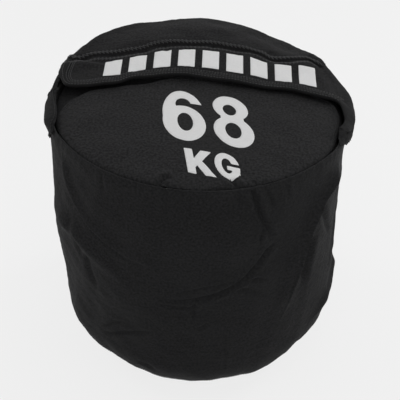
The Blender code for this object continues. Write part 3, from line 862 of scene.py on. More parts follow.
flapSheet = makeSheet("flapSheet", [flapOutline], 0.0028, overRim, topClothLift,
                      topCloth["outerThickness"], guides=guideLines)
liningSheet = makeSheet("liningSheet", [liningOutline], 0.0042, overRim, liningLift,
                        topCloth["liningThickness"])
print("flap cloth made")
hood = makeSheet("hood", [hoodOutline], 0.0028, overRim, topClothLift,
                 topCloth["outerThickness"], guides=guideLines[:6], sharpRim=True)
print("hood made")


# Tapes, binding and stitches on the flap

flapTrim = {
    "hemSection": [(0.0082, -0.0004), (0.0078, 0.0009), (0.0010, 0.0009), (-0.0002, 0.0002),
                   (-0.0005, -0.0012), (-0.0003, -0.0026), (0.0008, -0.0037),
                   (0.0076, -0.0038), (0.0080, -0.0032)],
    "seamSection": [(0.0012, -0.0005), (0.0014, 0.0003), (0.0018, 0.0005), (0.0088, 0.0005),
                    (0.0091, 0.0003), (0.0093, -0.0005)],
    "rowsEnd": 0.006,            # where its stitches end on the right wing, in y
    "threadRadius": 0.00058,
    "bandRadius": 0.00052,
    "hemRows": (0.0020, 0.0066),
    "clothRows": (0.0100, 0.0124),
    "edgeRows": (0.0050, 0.0075),
    "edgeReach": 0.215,          # beyond which the wing's edge has its own two rows
    "seamZigzag": (0.0026, 0.0082, 0.0058),    # nearest and farthest from the seam, pitch
    "lowerZigzag": (-0.0085, -0.0040, 0.0056),
    "tapeTop": 0.0007,
}
onWing = (hemLine[:, 0] > 0.15) & (hemLine[:, 1] < flapTrim["rowsEnd"])
tapeLine = hemLine[~onWing]

hemTape = makeTape("hemTape", hemLine, flapTrim["hemSection"], overRim, topClothLift)
seamTape = makeTape("seamTape", seamLine, flapTrim["seamSection"], overRim, topClothLift)
tapeThreads = np.vstack([zigzagRow(seamLine, *flapTrim["seamZigzag"]),
                         *(stitchRow(besides(tapeLine, d), 0.0024, 0.0018)
                           for d in flapTrim["hemRows"])])
tapeStitches = makeStitches("tapeStitches", tapeThreads, overRim,
                            lifted(flapTrim["tapeTop"], topClothLift), flapTrim["bandRadius"])
lowerEdge = wingEdge[np.hypot(*wingEdge.T) > flapTrim["edgeReach"]]
clothThreads = np.vstack([zigzagRow(seamLine, *flapTrim["lowerZigzag"]),
                          *(stitchRow(besides(tapeLine, d)) for d in flapTrim["clothRows"]),
                          *(stitchRow(besides(lowerEdge, d)) for d in flapTrim["edgeRows"])])
clothStitches = makeStitches("clothStitches", clothThreads, overRim, topClothLift,
                             flapTrim["threadRadius"])
print("flap trim made")


# A row of plain white bars, printed on the flap

bars = {"count": 9, "first": -0.122, "last": 0.148, "width": 0.0235, "share": (0.26, 0.80)}
ink = {"lift": 0.0003, "thickness": 0.0006, "step": 0.0016}


def printSheet(name, loops, spacing, place, liftOf, inside):
    return makeSheet(name, loops, spacing, place, lifted(ink["lift"], liftOf), ink["thickness"],
                     keep=inside, soften=0.1)


def roundedBox(low, high, corner, step):
    loop = []
    middles = [(high[0] - corner, high[1] - corner, 0), (low[0] + corner, high[1] - corner, 90),
               (low[0] + corner, low[1] + corner, 180), (high[0] - corner, low[1] + corner, 270)]
    for x, y, start in middles:
        for degrees in (0, 30, 60, 90):
            turn = math.radians(start + degrees)
            loop.append((x + corner * math.cos(turn), y + corner * math.sin(turn)))
    loop = np.array(loop + loop[:1])
    return resample(loop, step)[:-1]


def makeBars():
    loops = []
    for middle in np.linspace(bars["first"], bars["last"], bars["count"]):
        left, right = middle - bars["width"] / 2, middle + bars["width"] / 2
        ends = []
        for x in (left, right):
            hem = hemLine[np.argmin(np.abs(hemLine[:, 0] - x) + (hemLine[:, 1] < -0.02))]
            seam = seamLine[np.argmin(np.abs(seamLine[:, 0] - x))]
            ends.append([mix(hem[1], seam[1], share) for share in bars["share"]])
        corners = [(left, ends[0][0]), (right, ends[1][0]), (right, ends[1][1]), (left, ends[0][1])]
        loops.append(resample(np.array(corners + corners[:1]), ink["step"])[:-1])

    def inside(x, y):
        return np.any([insideLoop(x, y, loop) for loop in loops], axis=0)

    return printSheet("flapPrint", loops, 0.0024, overRim, topClothLift, inside)


flapPrint = makeBars()
print("print on the flap made")


# Left wing: a strip that comes out from under the flap's rounded end

stripInner = onCloth(seen["stripInner"], stripBase)
stripFront = onCloth(seen["stripFront"], stripBase)
leftOutline = smoothLine([
    (-0.172, 0.078), (-0.174, 0.060), *stripInner, *stripFront[:2], polar(202.5, 0.2065),
    polar(198.0, 0.2190), polar(193.5, 0.2320), polar(189.0, wingDrop - 0.002),
    polar(183.0, wingDrop), polar(176.0, wingDrop),
    polar(165.0, wingDrop - 0.001), polar(158.0, wingDrop - 0.007), polar(155.0, 0.2240),
    polar(154.0, 0.2120), polar(154.5, 0.1990)], 0.0026, closed=True)
leftWing = makeSheet("leftWing", [leftOutline], 0.0028, overRim, stripTop,
                     topCloth["stripThickness"], thin=stripThin)
stripEdge = besides(np.vstack([leftOutline, leftOutline[:1]]), -0.0028)
acrossStrip = np.array([(-0.190, 0.0135), (-0.205, 0.0135), (-0.240, 0.0130)])
stripThreads = np.vstack([stitchRow(stripEdge), stitchRow(acrossStrip),
                          stitchRow(acrossStrip - (0.0, 0.0035))])
stripStitches = makeStitches("stripStitches", stripThreads, overRim, stripTop,
                             flapTrim["threadRadius"])
print("left wing made")


# Side wall. Its folds are placed by the pixels at which they show.

wallFolds = [
    ("lap", 0.0028, 0.0056, [(62, 150), (66, 172), (72, 193), (82, 213), (102, 236), (128, 256),
     (160, 268)], (0.12, 0.45)),
    ("soft", 0.0060, 0.0150, [(55, 190), (60, 210), (77, 231), (103, 262), (126, 284)],
     (0.45, 0.5)),
    ("soft", -0.0014, 0.0070, [(70, 210), (75, 230), (79, 248), (86, 262)]),
    ("soft", -0.0018, 0.0060, [(86, 250), (90, 272), (96, 292)]),
    ("sharp", 0.0066, 0.0085, [(338, 158), (330, 180), (320, 200), (303, 238), (295, 269),
     (284, 300), (270, 330)], (0.12, 0.4)),
    ("soft", 0.0026, 0.0090, [(300, 236), (292, 262), (283, 290), (272, 318)]),
    ("soft", 0.0038, 0.0090, [(334, 254), (329, 274), (317, 298), (303, 326)], (0.15, 0.4)),
    ("soft", -0.0026, 0.0060, [(320, 192), (324, 214), (329, 236)]),
    ("soft", -0.0040, 0.0080, [(314, 232), (308, 262), (299, 290)]),
    ("crease", 0.0024, 0.0046, [(252, 190), (256, 202), (262, 218), (270, 232), (277, 239)],
     (0.05, 0.3)),
    ("crease", 0.0018, 0.0034, [(264, 222), (262, 234), (260, 246)]),
    ("soft", 0.0016, 0.0040, [(246, 193), (249, 202), (252, 211)]),
    ("crease", 0.0011, 0.0032, [(236, 192), (240, 198), (243, 206)]),
    ("crease", 0.0012, 0.0034, [(266, 189), (271, 199), (275, 210)]),
    ("crease", 0.0009, 0.0036, [(170, 296), (196, 290), (226, 283), (252, 268)]),
    ("crease", 0.0009, 0.0034, [(152, 303), (176, 307), (204, 304)]),
    ("crease", 0.0020, 0.0048, [(277, 238), (268, 250), (256, 266), (240, 281), (224, 291),
     (202, 299), (176, 301), (150, 299)], (0.12, 0.35)),
    ("crease", 0.0010, 0.0040, [(240, 281), (256, 278), (268, 280)]),
    ("crease", 0.0009, 0.0040, [(228, 291), (248, 289), (270, 296)]),
    ("crease", 0.0010, 0.0042, [(163, 188), (165, 205), (169, 226)], (0.1, 0.5)),
    ("crease", 0.0008, 0.0040, [(101, 172), (102, 182), (103, 194)], (0.1, 0.4)),
    ("crease", 0.0012, 0.0040, [(98, 327), (110, 322), (122, 321)]),
    ("crease", 0.0013, 0.0040, [(96, 333), (124, 332), (154, 330)]),
    ("crease", 0.0013, 0.0038, [(198, 301), (192, 308), (193, 322)]),
    ("crease", 0.0011, 0.0036, [(193, 329), (200, 326), (206, 321)]),
    ("crease", 0.0008, 0.0040, [(220, 322), (219, 348), (218, 376)]),
    ("crease", 0.0009, 0.0044, [(128, 362), (142, 366), (150, 375)]),
    ("crease", 0.0008, 0.0040, [(285, 182), (288, 192), (290, 202)]),
]
# Folds on the sides that the photograph doesn't show, as (degrees round the bag, height)
backFolds = [
    ("soft", 0.0036, 0.0090, [(14, 0.300), (2, 0.250), (-12, 0.190), (-22, 0.110)]),
    ("lap", 0.0022, 0.0055, [(36, 0.350), (30, 0.290), (18, 0.220), (4, 0.160)]),
    ("crease", 0.0014, 0.0045, [(58, 0.366), (60, 0.330), (66, 0.290)]),
    ("crease", 0.0020, 0.0052, [(76, 0.360), (72, 0.300), (60, 0.230), (42, 0.180)]),
    ("lap", 0.0024, 0.0060, [(104, 0.364), (108, 0.310), (118, 0.240), (134, 0.190)]),
    ("crease", 0.0014, 0.0045, [(128, 0.366), (130, 0.330), (136, 0.296)]),
    ("soft", 0.0036, 0.0085, [(150, 0.300), (158, 0.250), (170, 0.200), (182, 0.150)]),
    ("crease", 0.0022, 0.0060, [(176, 0.290), (180, 0.240), (190, 0.180)]),
    ("crease", 0.0016, 0.0050, [(66, 0.140), (80, 0.122), (86, 0.118)]),
    ("crease", 0.0014, 0.0046, [(95, 0.120), (106, 0.126), (116, 0.134)]),
    ("crease", 0.0014, 0.0044, [(24, 0.110), (44, 0.096), (60, 0.104)]),
    ("crease", 0.0014, 0.0046, [(124, 0.100), (144, 0.090), (164, 0.100)]),
]
wall = {
    "foldShare": 1.75,
    "gathers": (0.00030, 0.014),         # height, and how far they reach down from the rim
    "rimLean": (0.0020, 0.013),
    # Unevenness of the filled cloth, from wide to fine: height, stretch, wave, seed, and how
    # far below the rim it is full
    "slack": [(0.0010, 1.0, 0.11, 3, 0.05), (0.00050, 0.8, 0.035, 4, 0.02)],
    "slackFine": (0.00016, 0.012, 5),
    "pressed": (0.8, 0.290, 0.02),       # share that a wing flattens, from what height, over what
    "lapStep": 0.0016,           # the wall's own seam runs down the back
    "lapTurn": 90.0,
    "rollTurn": 195.0,           # how far the cloth turns in at the rim, and how smooth it gets
    "rollSmooth": 0.6,
}

wallFolds = placeFolds(wallFolds, onWall)
backFolds = placeFolds(backFolds, lambda turn, height: (math.radians(turn) * bag["radius"], height))


# Small gathers beside the rim seam, where the panel is eased into the wall
def gathers(turn):
    ripple = np.sin(turn * 74.0 + 2.0 * np.sin(turn * 5.0))
    ripple = ripple * (0.55 + 0.45 * np.sin(turn * 7.0 + 1.0))
    return ripple + 0.6 * np.sin(turn * 123.0 + 1.5 * np.sin(turn * 9.0 + 0.4))


def wallRelief(turn, height):
    around = (turn % math.tau) * bag["radius"]
    total = wall["foldShare"] * foldHeight(around, height, wallFolds)
    ring = math.tau * bag["radius"]
    for move in (0.0, ring, -ring):
        total += foldHeight(around + move, height, backFolds)
    below = rimHeightAt(turn) - height
    size, reach = wall["gathers"]
    total += size * gathers(turn) * np.exp(-np.maximum(below, 0.0) / reach)
    lean, reach = wall["rimLean"]
    total -= lean * smoothStep((reach - below) / reach)
    for size, stretch, wave, seed, reach in wall["slack"]:
        total += size * uneven(around * stretch, height, wave, seed) * smoothStep(below / reach)
    size, wave, seed = wall["slackFine"]
    total += size * uneven(around, height, wave, seed)
    share, start, reach = wall["pressed"]
    total *= 1.0 - share * underWing(turn) * smoothStep((height - start) / reach)
    lap = turnBetween(turn, wall["lapTurn"]) * math.radians(1.0) * bag["radius"]
    step = smoothStep((lap + 0.012) / 0.0012) * smoothStep((0.030 - lap) / 0.040)
    return total + wall["lapStep"] * (step - 0.5 * bell(lap + 0.0095, 0.0010) * (lap > -0.012))


# The bag's outer face without its relief: how far out it lies, and how that leans
def bagSide(turn, height):
    corner = cornerAt(turn)
    foot = wallRadius(turn, corner)
    share = np.clip(1.0 - height / corner, 0.0, 1.0)
    out = np.where(height < corner, np.sqrt(1.0 - share ** 2), 1.0)
    up = np.where(height < corner, -share, 0.0)
    reach = np.where(height < corner, foot - corner + corner * out, wallRadius(turn, height))
    return reach, out, up


def ringAt(turn, radius, level, shift=0.0):
    return np.stack([radius * np.cos(turn) + shift, radius * np.sin(turn), level], -1)


def wallPlace(around, height, lift, relief=1.0):
    turn = around / bag["radius"]
    reach, out, up = bagSide(turn, height)
    lift = lift + relief * wallRelief(turn, height)
    return ringAt(turn, reach + lift * out, height + lift * up, lowerShiftAt(height))


def roundTurns(columns):
    return np.linspace(math.radians(90.0), math.radians(450.0), columns + 1)


def rowsObject(name, rows, columns):
    around = roundTurns(columns) * bag["radius"]
    flat, length = [], 0.0
    for index, row in enumerate(rows):
        if index:
            length += np.linalg.norm(row - rows[index - 1], axis=1).mean()
        flat.append(np.stack([around, np.full(around.shape, length)], -1))
    faces = gridFaces(len(rows), columns + 1)
    return makeObject(name, np.concatenate(rows), faces, np.concatenate(flat))


def makeWall():
    columns, cornerRows, wallRows, rollRows = 720, 16, 150, 10
    turn = roundTurns(columns)
    around = turn * bag["radius"]
    corner = cornerAt(turn)
    rows = []
    for share in np.linspace(0.0, 1.0, cornerRows, endpoint=False):
        angle = math.radians(mix(bag["bottomSeamTurn"], 90.0, share))
        rows.append(wallPlace(around, corner * (1.0 - math.cos(angle)), 0.0))
    roll = bag["rollRadius"]
    shoulder = rimHeightAt(turn) - roll
    for share in np.linspace(0.0, 1.0, wallRows, endpoint=False):
        rows.append(wallPlace(around, mix(corner, shoulder, share), 0.0))
    centre = wallRadius(turn, shoulder) - roll
    for share in np.linspace(0.0, 1.0, rollRows):
        angle = math.radians(wall["rollTurn"] * share)
        relief = wallRelief(turn, shoulder) * (1.0 - wall["rollSmooth"] * share)
        rows.append(ringAt(turn, centre + (roll + relief) * math.cos(angle),
                           shoulder + (roll + relief) * math.sin(angle)))
    for depth in (0.5, 1.0):
        rows.append(ringAt(turn, centre - roll, shoulder - depth * bag["grooveDepth"]))
    return rowsObject("sideWall", rows, columns)


# Shares run from 0 to 1 over the flat and from 1 to 2 over the corner, up to the seam
bottom = {
    "flatRows": 26,
    "cornerRows": 22,
    "reliefStart": (1.3, 0.5),           # from where the wall's relief grows, and over what
    "gathers": (0.0008, 0.7, 0.25),      # height, turn and width
    "seamDip": (0.0016, 0.06),           # depth and width
}


def makeBottom():
    columns = 360
    start, grow = bottom["reliefStart"]
    size, lead, wide = bottom["gathers"]
    depth, narrow = bottom["seamDip"]
    turn = roundTurns(columns)
    corner = cornerAt(turn)
    flatRadius = wallRadius(turn, corner) - corner
    points = []
    shares = np.concatenate([np.linspace(0.02, 1.0, bottom["flatRows"]),
                             1.0 + np.linspace(0.0, 1.0, bottom["cornerRows"])[1:]])
    for share in shares:
        if share <= 1.0:
            reach, height = flatRadius * share, np.zeros(turn.shape)
            out, up, strength = 0.0, -1.0, 0.0
        else:
            angle = math.radians(bag["bottomSeamTurn"] * (share - 1.0))
            reach = flatRadius + corner * math.sin(angle)
            height = corner * (1.0 - math.cos(angle))
            out, up = math.sin(angle), -math.cos(angle)
            strength = smoothStep((share - start) / grow)
        pull = size * gathers(turn + lead) * bell(share - 2.0, wide)
        relief = wallRelief(turn, height) * strength + pull - depth * bell(share - 2.0, narrow)
        points.append(ringAt(turn, reach + relief * out, np.maximum(height + relief * up, 0.0),
                             lowerShiftAt(height)))
    faces = [tuple(f) for f in gridFaces(len(shares), columns + 1)]
    hub = len(shares) * (columns + 1)
    faces += [(i + 1, i, hub) for i in range(columns)]
    points.append(np.array([[float(lowerShiftAt(0.0)), 0.0, 0.0]]))
    points = np.concatenate(points)
    return makeObject("bagBottom", points, faces, points[:, :2])


sideWall = makeWall()
bagBottom = makeBottom()
print("wall and bottom made")


# Stitches and tapes of the wall, as lines of (way round, height)

def seamHeight(turn, degrees):
    return cornerAt(turn) * (1.0 - math.cos(math.radians(degrees)))


def bottomRow(degrees):
    turn = roundTurns(300)
    return np.stack([turn * bag["radius"], seamHeight(turn, degrees)], -1)


backWay = math.radians(wall["lapTurn"]) * bag["radius"]
lapRows = [np.array([(backWay + way, 0.030), (backWay + way, 0.200), (backWay + way, 0.384)])
           for way in (-0.0095, -0.0035)]
wallThreads = np.vstack([stitchRow(bottomRow(bag["bottomSeamTurn"] + 3.5))]
                        + [stitchRow(row) for row in lapRows])
wallStitches = makeStitches("wallStitches", wallThreads, wallPlace, lifted(0.0),
                            flapTrim["threadRadius"])


def makeBand(name, lower, upper, lift, thickness, columns=180):
    turn = roundTurns(columns)
    rows = [wallPlace(turn * bag["radius"], mix(lower, upper, share), lift - depth, 0.0)
            for share, depth in ((0.0, 0.0), (0.33, 0.0), (0.67, 0.0), (1.0, 0.0),
                                 (1.0, thickness), (0.67, thickness), (0.33, thickness),
                                 (0.0, thickness), (0.0, 0.0))]
    return rowsObject(name, rows, columns)


turns = roundTurns(180)
rimSeamTape = makeBand("rimSeamTape", rimHeightAt(turns) - 0.020, rimHeightAt(turns) - 0.008,
                       -0.0050, 0.0015)
bottomSeamTape = makeBand("bottomSeamTape", seamHeight(turns, 36.0), seamHeight(turns, 50.0),
                          -0.0040, 0.0015)
lapBox = roundedBox((backWay - 0.012, 0.090), (backWay + 0.012, 0.330), 0.002, 0.004)
sideLap = makeSheet("sideLap", [lapBox], 0.006, lambda x, y, lift: wallPlace(x, y, lift, 0.0),
                    lifted(-0.0040), 0.0012)
print("wall seams made")


# Front top panel

panelFolds = [
    ("crease", 0.0010, 0.0050, [(158, 118), (155, 130), (158, 143)]),
    ("crease", 0.0009, 0.0050, [(132, 152), (122, 160), (112, 168)]),
    ("crease", 0.0046, 0.0042, [(172, 178), (164, 179), (158, 184)], (0.35, 0.02)),
    ("crease", 0.0046, 0.0044, [(228, 178), (236, 184), (242, 189)], (0.35, 0.02)),
    ("crease", 0.0016, 0.0040, [(262, 181), (250, 185), (240, 188)], (0.35, 0.02)),
    ("soft", 0.0012, 0.0160, [(120, 100), (96, 118), (84, 132)]),
    ("soft", 0.0010, 0.0180, [(300, 112), (304, 132), (296, 150)]),
]
panelFolds = placeFolds(panelFolds, onTop)


def panelLift(x, y):
    turn = np.arctan2(y, x)
    edge = panel["radius"] - np.hypot(x, y)
    lift = panel["swell"] * smoothStep(edge / panel["swellReach"])
    sink = panel["sink"] * grooveAt(turn)
    lift = lift - sink * np.exp(-np.maximum(edge, 0.0) / panel["sinkWidth"])
    front = smoothStep((0.02 - y) / 0.04)
    size, reach = panel["gathers"]
    lift = lift + size * gathers(turn) * np.exp(-np.maximum(edge - 0.002, 0.0) / reach) * front
    lip = np.abs(distanceFrom(x, y, lipLine)[0])
    depth, width = panel["lipGroove"]
    lift = lift - depth * np.exp(-lip / width)
    depth, away, width = panel["lipStitching"]
    lift = lift - depth * bell(lip - away, width)
    height, away, width = panel["lipSwell"]
    lift = lift + height * bell(lip - away, width)
    lift = lift + foldHeight(x, y, panelFolds)
    for height, wave, seed in panel["uneven"]:
        lift = lift + height * uneven(x, y, wave, seed)
    return lift


def makePanel():
    start, end = turnOf(lipLine[-1]), turnOf(lipLine[0]) % 360.0 - 360.0
    outline = np.vstack([lipLine, arcLine(start, end, panel["radius"], 0.0022)])
    rimGuides = [np.array(arcLine(-170.0, -10.0, panel["radius"] - d, 0.0024))
                 for d in (0.0012, 0.0026, 0.0045)]
    guides = [besides(lipLine, d) for d in (-0.0014, -0.0030, -0.0052)] + rimGuides
    return makeSheet("topPanel", [outline], 0.0030, topPlace, panelLift, panel["thickness"],
                     guides=guides)


topPanel = makePanel()
lipStitches = makeStitches("lipStitches", stitchRow(besides(lipLine, -0.0052)), topPlace,
                           panelLift, flapTrim["threadRadius"])
print("top panel made")


# The weight mark printed on the panel, as plain figures of our own

marks = {
    "baseline": -12.0,           # degrees, seen from above
    "places": [                  # figure, pixel, width, height, turn of its upright
        ("six", (183.7, 115.7), 0.0575, 0.1175, 94.0),
        ("eight", (232.3, 122.0), 0.0530, 0.1170, 94.5),
        ("kay", (199.8, 163.2), 0.0355, 0.0470, 99.0),
        ("gee", (227.2, 166.9), 0.0315, 0.0485, 98.0)],
}


def oval(x, y, halfWidth, halfHeight, count=72):
    turn = np.linspace(0.0, math.tau, count, endpoint=False)
    return np.stack([x + halfWidth * np.cos(turn), y + halfHeight * np.sin(turn)], -1)


def box(left, low, right, high):
    return np.array([(left, low), (right, low), (right, high), (left, high)])


# Each figure is a list of outlines in a box one unit wide and high, and how they combine
figures = {
    "eight": [[oval(-0.01, 0.255, 0.45, 0.245), oval(0.0, -0.215, 0.50, 0.285),
               box(-0.29, -0.10, 0.29, 0.16), oval(-0.04, 0.212, 0.17, 0.112),
               oval(-0.01, -0.195, 0.20, 0.148)],
              lambda part: (part[0] | part[1] | part[2]) & ~part[3] & ~part[4]],
    "six": [[oval(0.0, 0.0, 0.50, 0.50), oval(0.0, 0.205, 0.185, 0.130),
             box(0.0, -0.16, 0.60, 0.245), oval(0.0, -0.16, 0.50, 0.34),
             oval(0.025, -0.140, 0.182, 0.180)],
            lambda part: ((part[0] & ~part[1] & ~part[2]) | part[3]) & ~part[4]],
    "kay": [[np.array([(-0.5, -0.5), (-0.2, -0.5), (-0.2, -0.25), (-0.12, -0.16), (0.12, -0.5),
                       (0.5, -0.5), (0.08, 0.04), (0.48, 0.5), (0.1, 0.5), (-0.2, 0.1),
                       (-0.2, 0.5), (-0.5, 0.5)])],
            lambda part: part[0]],
    "gee": [[oval(0.0, 0.0, 0.50, 0.50), oval(-0.01, 0.0, 0.21, 0.29),
             box(0.0, -0.02, 0.60, 0.11), box(-0.02, -0.15, 0.49, 0.0),
             box(0.22, -0.27, 0.47, 0.0)],
            lambda part: (part[0] & ~part[1] & ~part[2]) | part[3] | part[4]],
}


def makeMark(name, pixel, width, height, upright):
    middle = np.array(onTop(*pixel))
    across, along = np.array(polar(marks["baseline"], 1.0)), np.array(polar(upright, 1.0))
    loops, combine = figures[name]
    placed = []
    for loop in loops:
        flat = middle + loop[:, :1] * width * across + loop[:, 1:] * height * along
        placed.append(resample(np.vstack([flat, flat[:1]]), ink["step"])[:-1])

    def inside(x, y):
        return combine([insideLoop(x, y, loop) for loop in placed])

    return printSheet("mark" + name.capitalize(), placed, 0.0026, topPlace, panelLift, inside)


markPieces = [makeMark(*place) for place in marks["places"]]
print("weight mark made")


# Facings of the mouth, the inner flap and the hook and loop tapes

mouth = {"front": 0.062, "rear": 0.102, "radius": 0.1925, "tuck": 0.010,
         "innerLift": 0.0030, "innerThickness": 0.0022, "innerRoot": 0.105,
         "innerTip": 0.0485, "innerHalf": 0.150, "patchFront": -0.018,
         "patchThickness": 0.0012,
         "facing": -0.0043, "facingEnds": (0.0030, 0.10, 0.05)}      # lower by, from, over


def facingLift(x, y):
    depth, start, grow = mouth["facingEnds"]
    low = depth * smoothStep((np.abs(x) - start) / grow)
    return 0.0003 * uneven(x, y, 0.03, 31) + mouth["facing"] - low


def makeFacings():
    radius = mouth["radius"]
    half, turn = chordOf(mouth["front"], radius)
    tucked = besides(lipLine, -mouth["tuck"])
    start, end = turnOf(tucked[0]) % 360.0, turnOf(tucked[-1])
    outline = np.vstack([straightLine(half, -half, mouth["front"]),
                         arcLine(180.0 - turn, start, radius, 0.004)[1:], tucked,
                         arcLine(end, turn, radius, 0.004)[:-1]])
    front = makeSheet("mouthFacingFront", [outline], 0.0045, topPlace, facingLift, 0.0012)
    half, turn = chordOf(mouth["rear"], radius)
    outline = np.vstack([arcLine(turn, 180.0 - turn, radius, 0.004),
                         straightLine(-half, half, mouth["rear"])[1:-1]])
    rear = makeSheet("mouthFacingRear", [outline], 0.0045, topPlace, lifted(0.0), 0.0022)
    return front, rear


def flatTape(name, node, top, thickness):
    low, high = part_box(node)
    outline = roundedBox(low[:2], high[:2], 0.002, 0.003)
    return makeSheet(name, [outline], 0.0040, topPlace, top, thickness)


# A left and a right patch on the side wall
def patchTapes(name, node, lift):
    made = []
    for side in ("left", "right"):
        low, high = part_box(node + side)
        reach = (max(low[1], mouth["patchFront"]), high[1])
        ends = [math.asin(value / bag["radius"]) for value in reach]
        turns = ends if side == "right" else [math.pi - ends[1], math.pi - ends[0]]
        outline = roundedBox((turns[0] * bag["radius"], low[2]),
                             (turns[1] * bag["radius"], high[2]), 0.003, 0.003)
        made.append(makeSheet(name + side.capitalize(), [outline], 0.0040, wallPlace, lifted(lift),
                              mouth["patchThickness"]))
    return made


frontFacing, rearFacing = makeFacings()
innerBox = roundedBox((-mouth["innerHalf"], mouth["innerTip"]),
                      (mouth["innerHalf"], mouth["innerRoot"]), 0.010, 0.003)


def innerTop(x, y):
    edge = bell(y - mouth["innerTip"] - 0.004, 0.0012)
    return mouth["innerLift"] + 0.0002 * uneven(x, y, 0.03, 51) - 0.0005 * edge


innerFlap = makeSheet("innerFlap", [innerBox], 0.0034, topPlace, innerTop, mouth["innerThickness"])
innerHooks = flatTape("innerHooks", "inner_hook_tape", lifted(0.0003), 0.0012)
innerLoops = flatTape("innerLoops", "inner_loop_tape", lifted(0.0012, innerTop), 0.0013)
frontLoops = flatTape("frontLoops", "front_loop_tape", lifted(0.0013, facingLift), 0.0014)
flapHooks = flatTape("flapHooks", "flap_hook_tape",
                     lifted(0.0001 - topCloth["liningThickness"], liningLift), 0.0013)
sidePatches = patchTapes("sideLoops", "side_loop_patch_", 0.0013)
wingPatches = patchTapes("wingHooks", "wing_hook_patch_", 0.0038)
innerEdge = np.vstack([innerBox, innerBox[:1]])
innerThreads = np.vstack([stitchRow(besides(innerEdge, d)) for d in flapTrim["edgeRows"]])
innerStitches = makeStitches("innerStitches", innerThreads, topPlace, innerTop,
                             flapTrim["threadRadius"])
print("inner closure made")


# Liner, its tie and the sand inside it

liner = {"inset": 0.0085, "top": 0.351, "shoulder": 0.030, "neckY": 0.082, "neckRadius": 0.0078,
         "neckTop": 0.3635, "pleats": 17, "film": 0.0010, "tieRise": 0.0072,
         # Share of the width, share of the way to the neck, and pleats
         "topRows": [(0.62, 0.25, 0.25), (0.42, 0.55, 0.5), (0.24, 0.80, 0.8)],
         # Reach and rise above the top, up the gathered neck and down inside it
         "neckRows": [(0.0240, 0.0005), (0.0140, 0.0020), (0.0078, 0.0050), (0.00702, 0.0070),
                      (0.0078, 0.0090), (0.0120, 0.0115), (0.0150, 0.0125), (0.0140, 0.0119),
                      (0.0050, 0.0080), (0.0010, 0.0070)]}


def makeFilling(name, inset, top, neck):
    columns = 240
    turn = roundTurns(columns)
    rows = []
    for share in () if neck else (0.0, 0.35, 0.7):       # the liner has no bottom, which is hidden
        reach, _, _ = bagSide(turn, np.full(turn.shape, 0.004 + inset))
        rows.append((share * (reach - inset), 0.0035 + inset, 0.0, 0.0))
    for height in np.linspace(0.004 + inset, top - liner["shoulder"], 34):
        reach, _, _ = bagSide(turn, np.full(turn.shape, height))
        rows.append((reach - inset, height, 0.0, 0.0))
    wide = rows[-1][0]
    for degrees in (15, 30, 45, 60, 75, 90):
        lean = math.radians(degrees)
        rows.append((wide - liner["shoulder"] * (1.0 - math.cos(lean)),
                     top - liner["shoulder"] * (1.0 - math.sin(lean)), 0.0, 0.05))
    if not neck:
        rows += [(wide * share, top, 0.0, 0.0) for share in (0.6, 0.3, 0.0)]
    else:
        rows += [(wide * share, top, shift, pleat) for share, shift, pleat in liner["topRows"]]
        rows += [(reach, top + rise, 1.0, 1.0) for reach, rise in liner["neckRows"]]
    made = []
    for reach, height, shift, pleat in rows:
        fold = 1.0 + 0.10 * pleat * np.sin(turn * liner["pleats"] + 1.2 * np.sin(turn * 3.0))
        level = height + 0.0008 * pleat * np.sin(turn * liner["pleats"] + 0.8)
        level = np.minimum(level, liner["neckTop"]) + 0.0 * turn
        row = ringAt(turn, reach * fold, level, lowerShiftAt(level))
        made.append(row + np.array([0.0, liner["neckY"] * shift, 0.0]))
    return rowsObject(name, made, columns)


def makeTie():
    sides, columns, girth = 12, 72, 0.0014
    turn = np.linspace(0.0, math.tau, columns + 1)
    rows = []
    for side in np.linspace(0.0, math.tau, sides + 1):
        reach = liner["neckRadius"] + 0.0008 + girth * 0.8 * np.cos(side)
        level = np.full(turn.shape, liner["top"] + liner["tieRise"] + girth * np.sin(side))
        rows.append(ringAt(turn, reach, level) + np.array([0.0, liner["neckY"], 0.0]))
    points = np.concatenate(rows[::-1])
    flat = np.stack(np.meshgrid(turn * liner["neckRadius"], np.linspace(0.0, 0.009, sides + 1)), -1)
    band = makeObject("linerTieBand", points, gridFaces(sides + 1, columns + 1), flat.reshape(-1, 2))
    # The tie's head and its short tail
    x, y, z = liner["neckRadius"] + 0.0028, liner["neckY"], liner["top"] + liner["tieRise"]
    blocks = [((x - 0.0018, y - 0.0024, z - 0.0019), (x + 0.0018, y + 0.0024, z + 0.0019)),
              ((x - 0.0005, y + 0.0020, z - 0.0008), (x + 0.0005, y + 0.0130, z + 0.0008))]
    corners, faces = [], []
    for low, high in blocks:
        start = len(corners)
        corners += [(a, b, c) for a in (low[0], high[0]) for b in (low[1], high[1])
                    for c in (low[2], high[2])]
        faces += [tuple(start + i for i in face) for face in
                  ((0, 1, 3, 2), (4, 6, 7, 5), (0, 4, 5, 1), (2, 3, 7, 6), (0, 2, 6, 4),
                   (1, 5, 7, 3))]
    head = makeObject("linerTieHead", corners, faces, np.array(corners)[:, :2])
    bevel = head.modifiers.new("bevel", "BEVEL")
    bevel.width = 0.0004
    bevel.segments = 2
    return band, head


sandLiner = makeFilling("sandLiner", liner["inset"], liner["top"], True)
sandFill = makeFilling("sandFill", liner["inset"] + liner["film"], liner["top"] - 0.0015, False)
tieBand, tieHead = makeTie()
print("liner and sand made")


# Materials. Colours and depths here are meant for metres on the "cloth" map.

def connect(tree, source, socket):
    if isinstance(source, bpy.types.NodeSocket):
        tree.links.new(source, socket)
    else:
        socket.default_value = source


def calc(tree, operation, *sources):
    node = tree.nodes.new("ShaderNodeMath")
    node.operation = operation
    for source, socket in zip(sources, node.inputs):
        connect(tree, source, socket)
    return node.outputs[0]


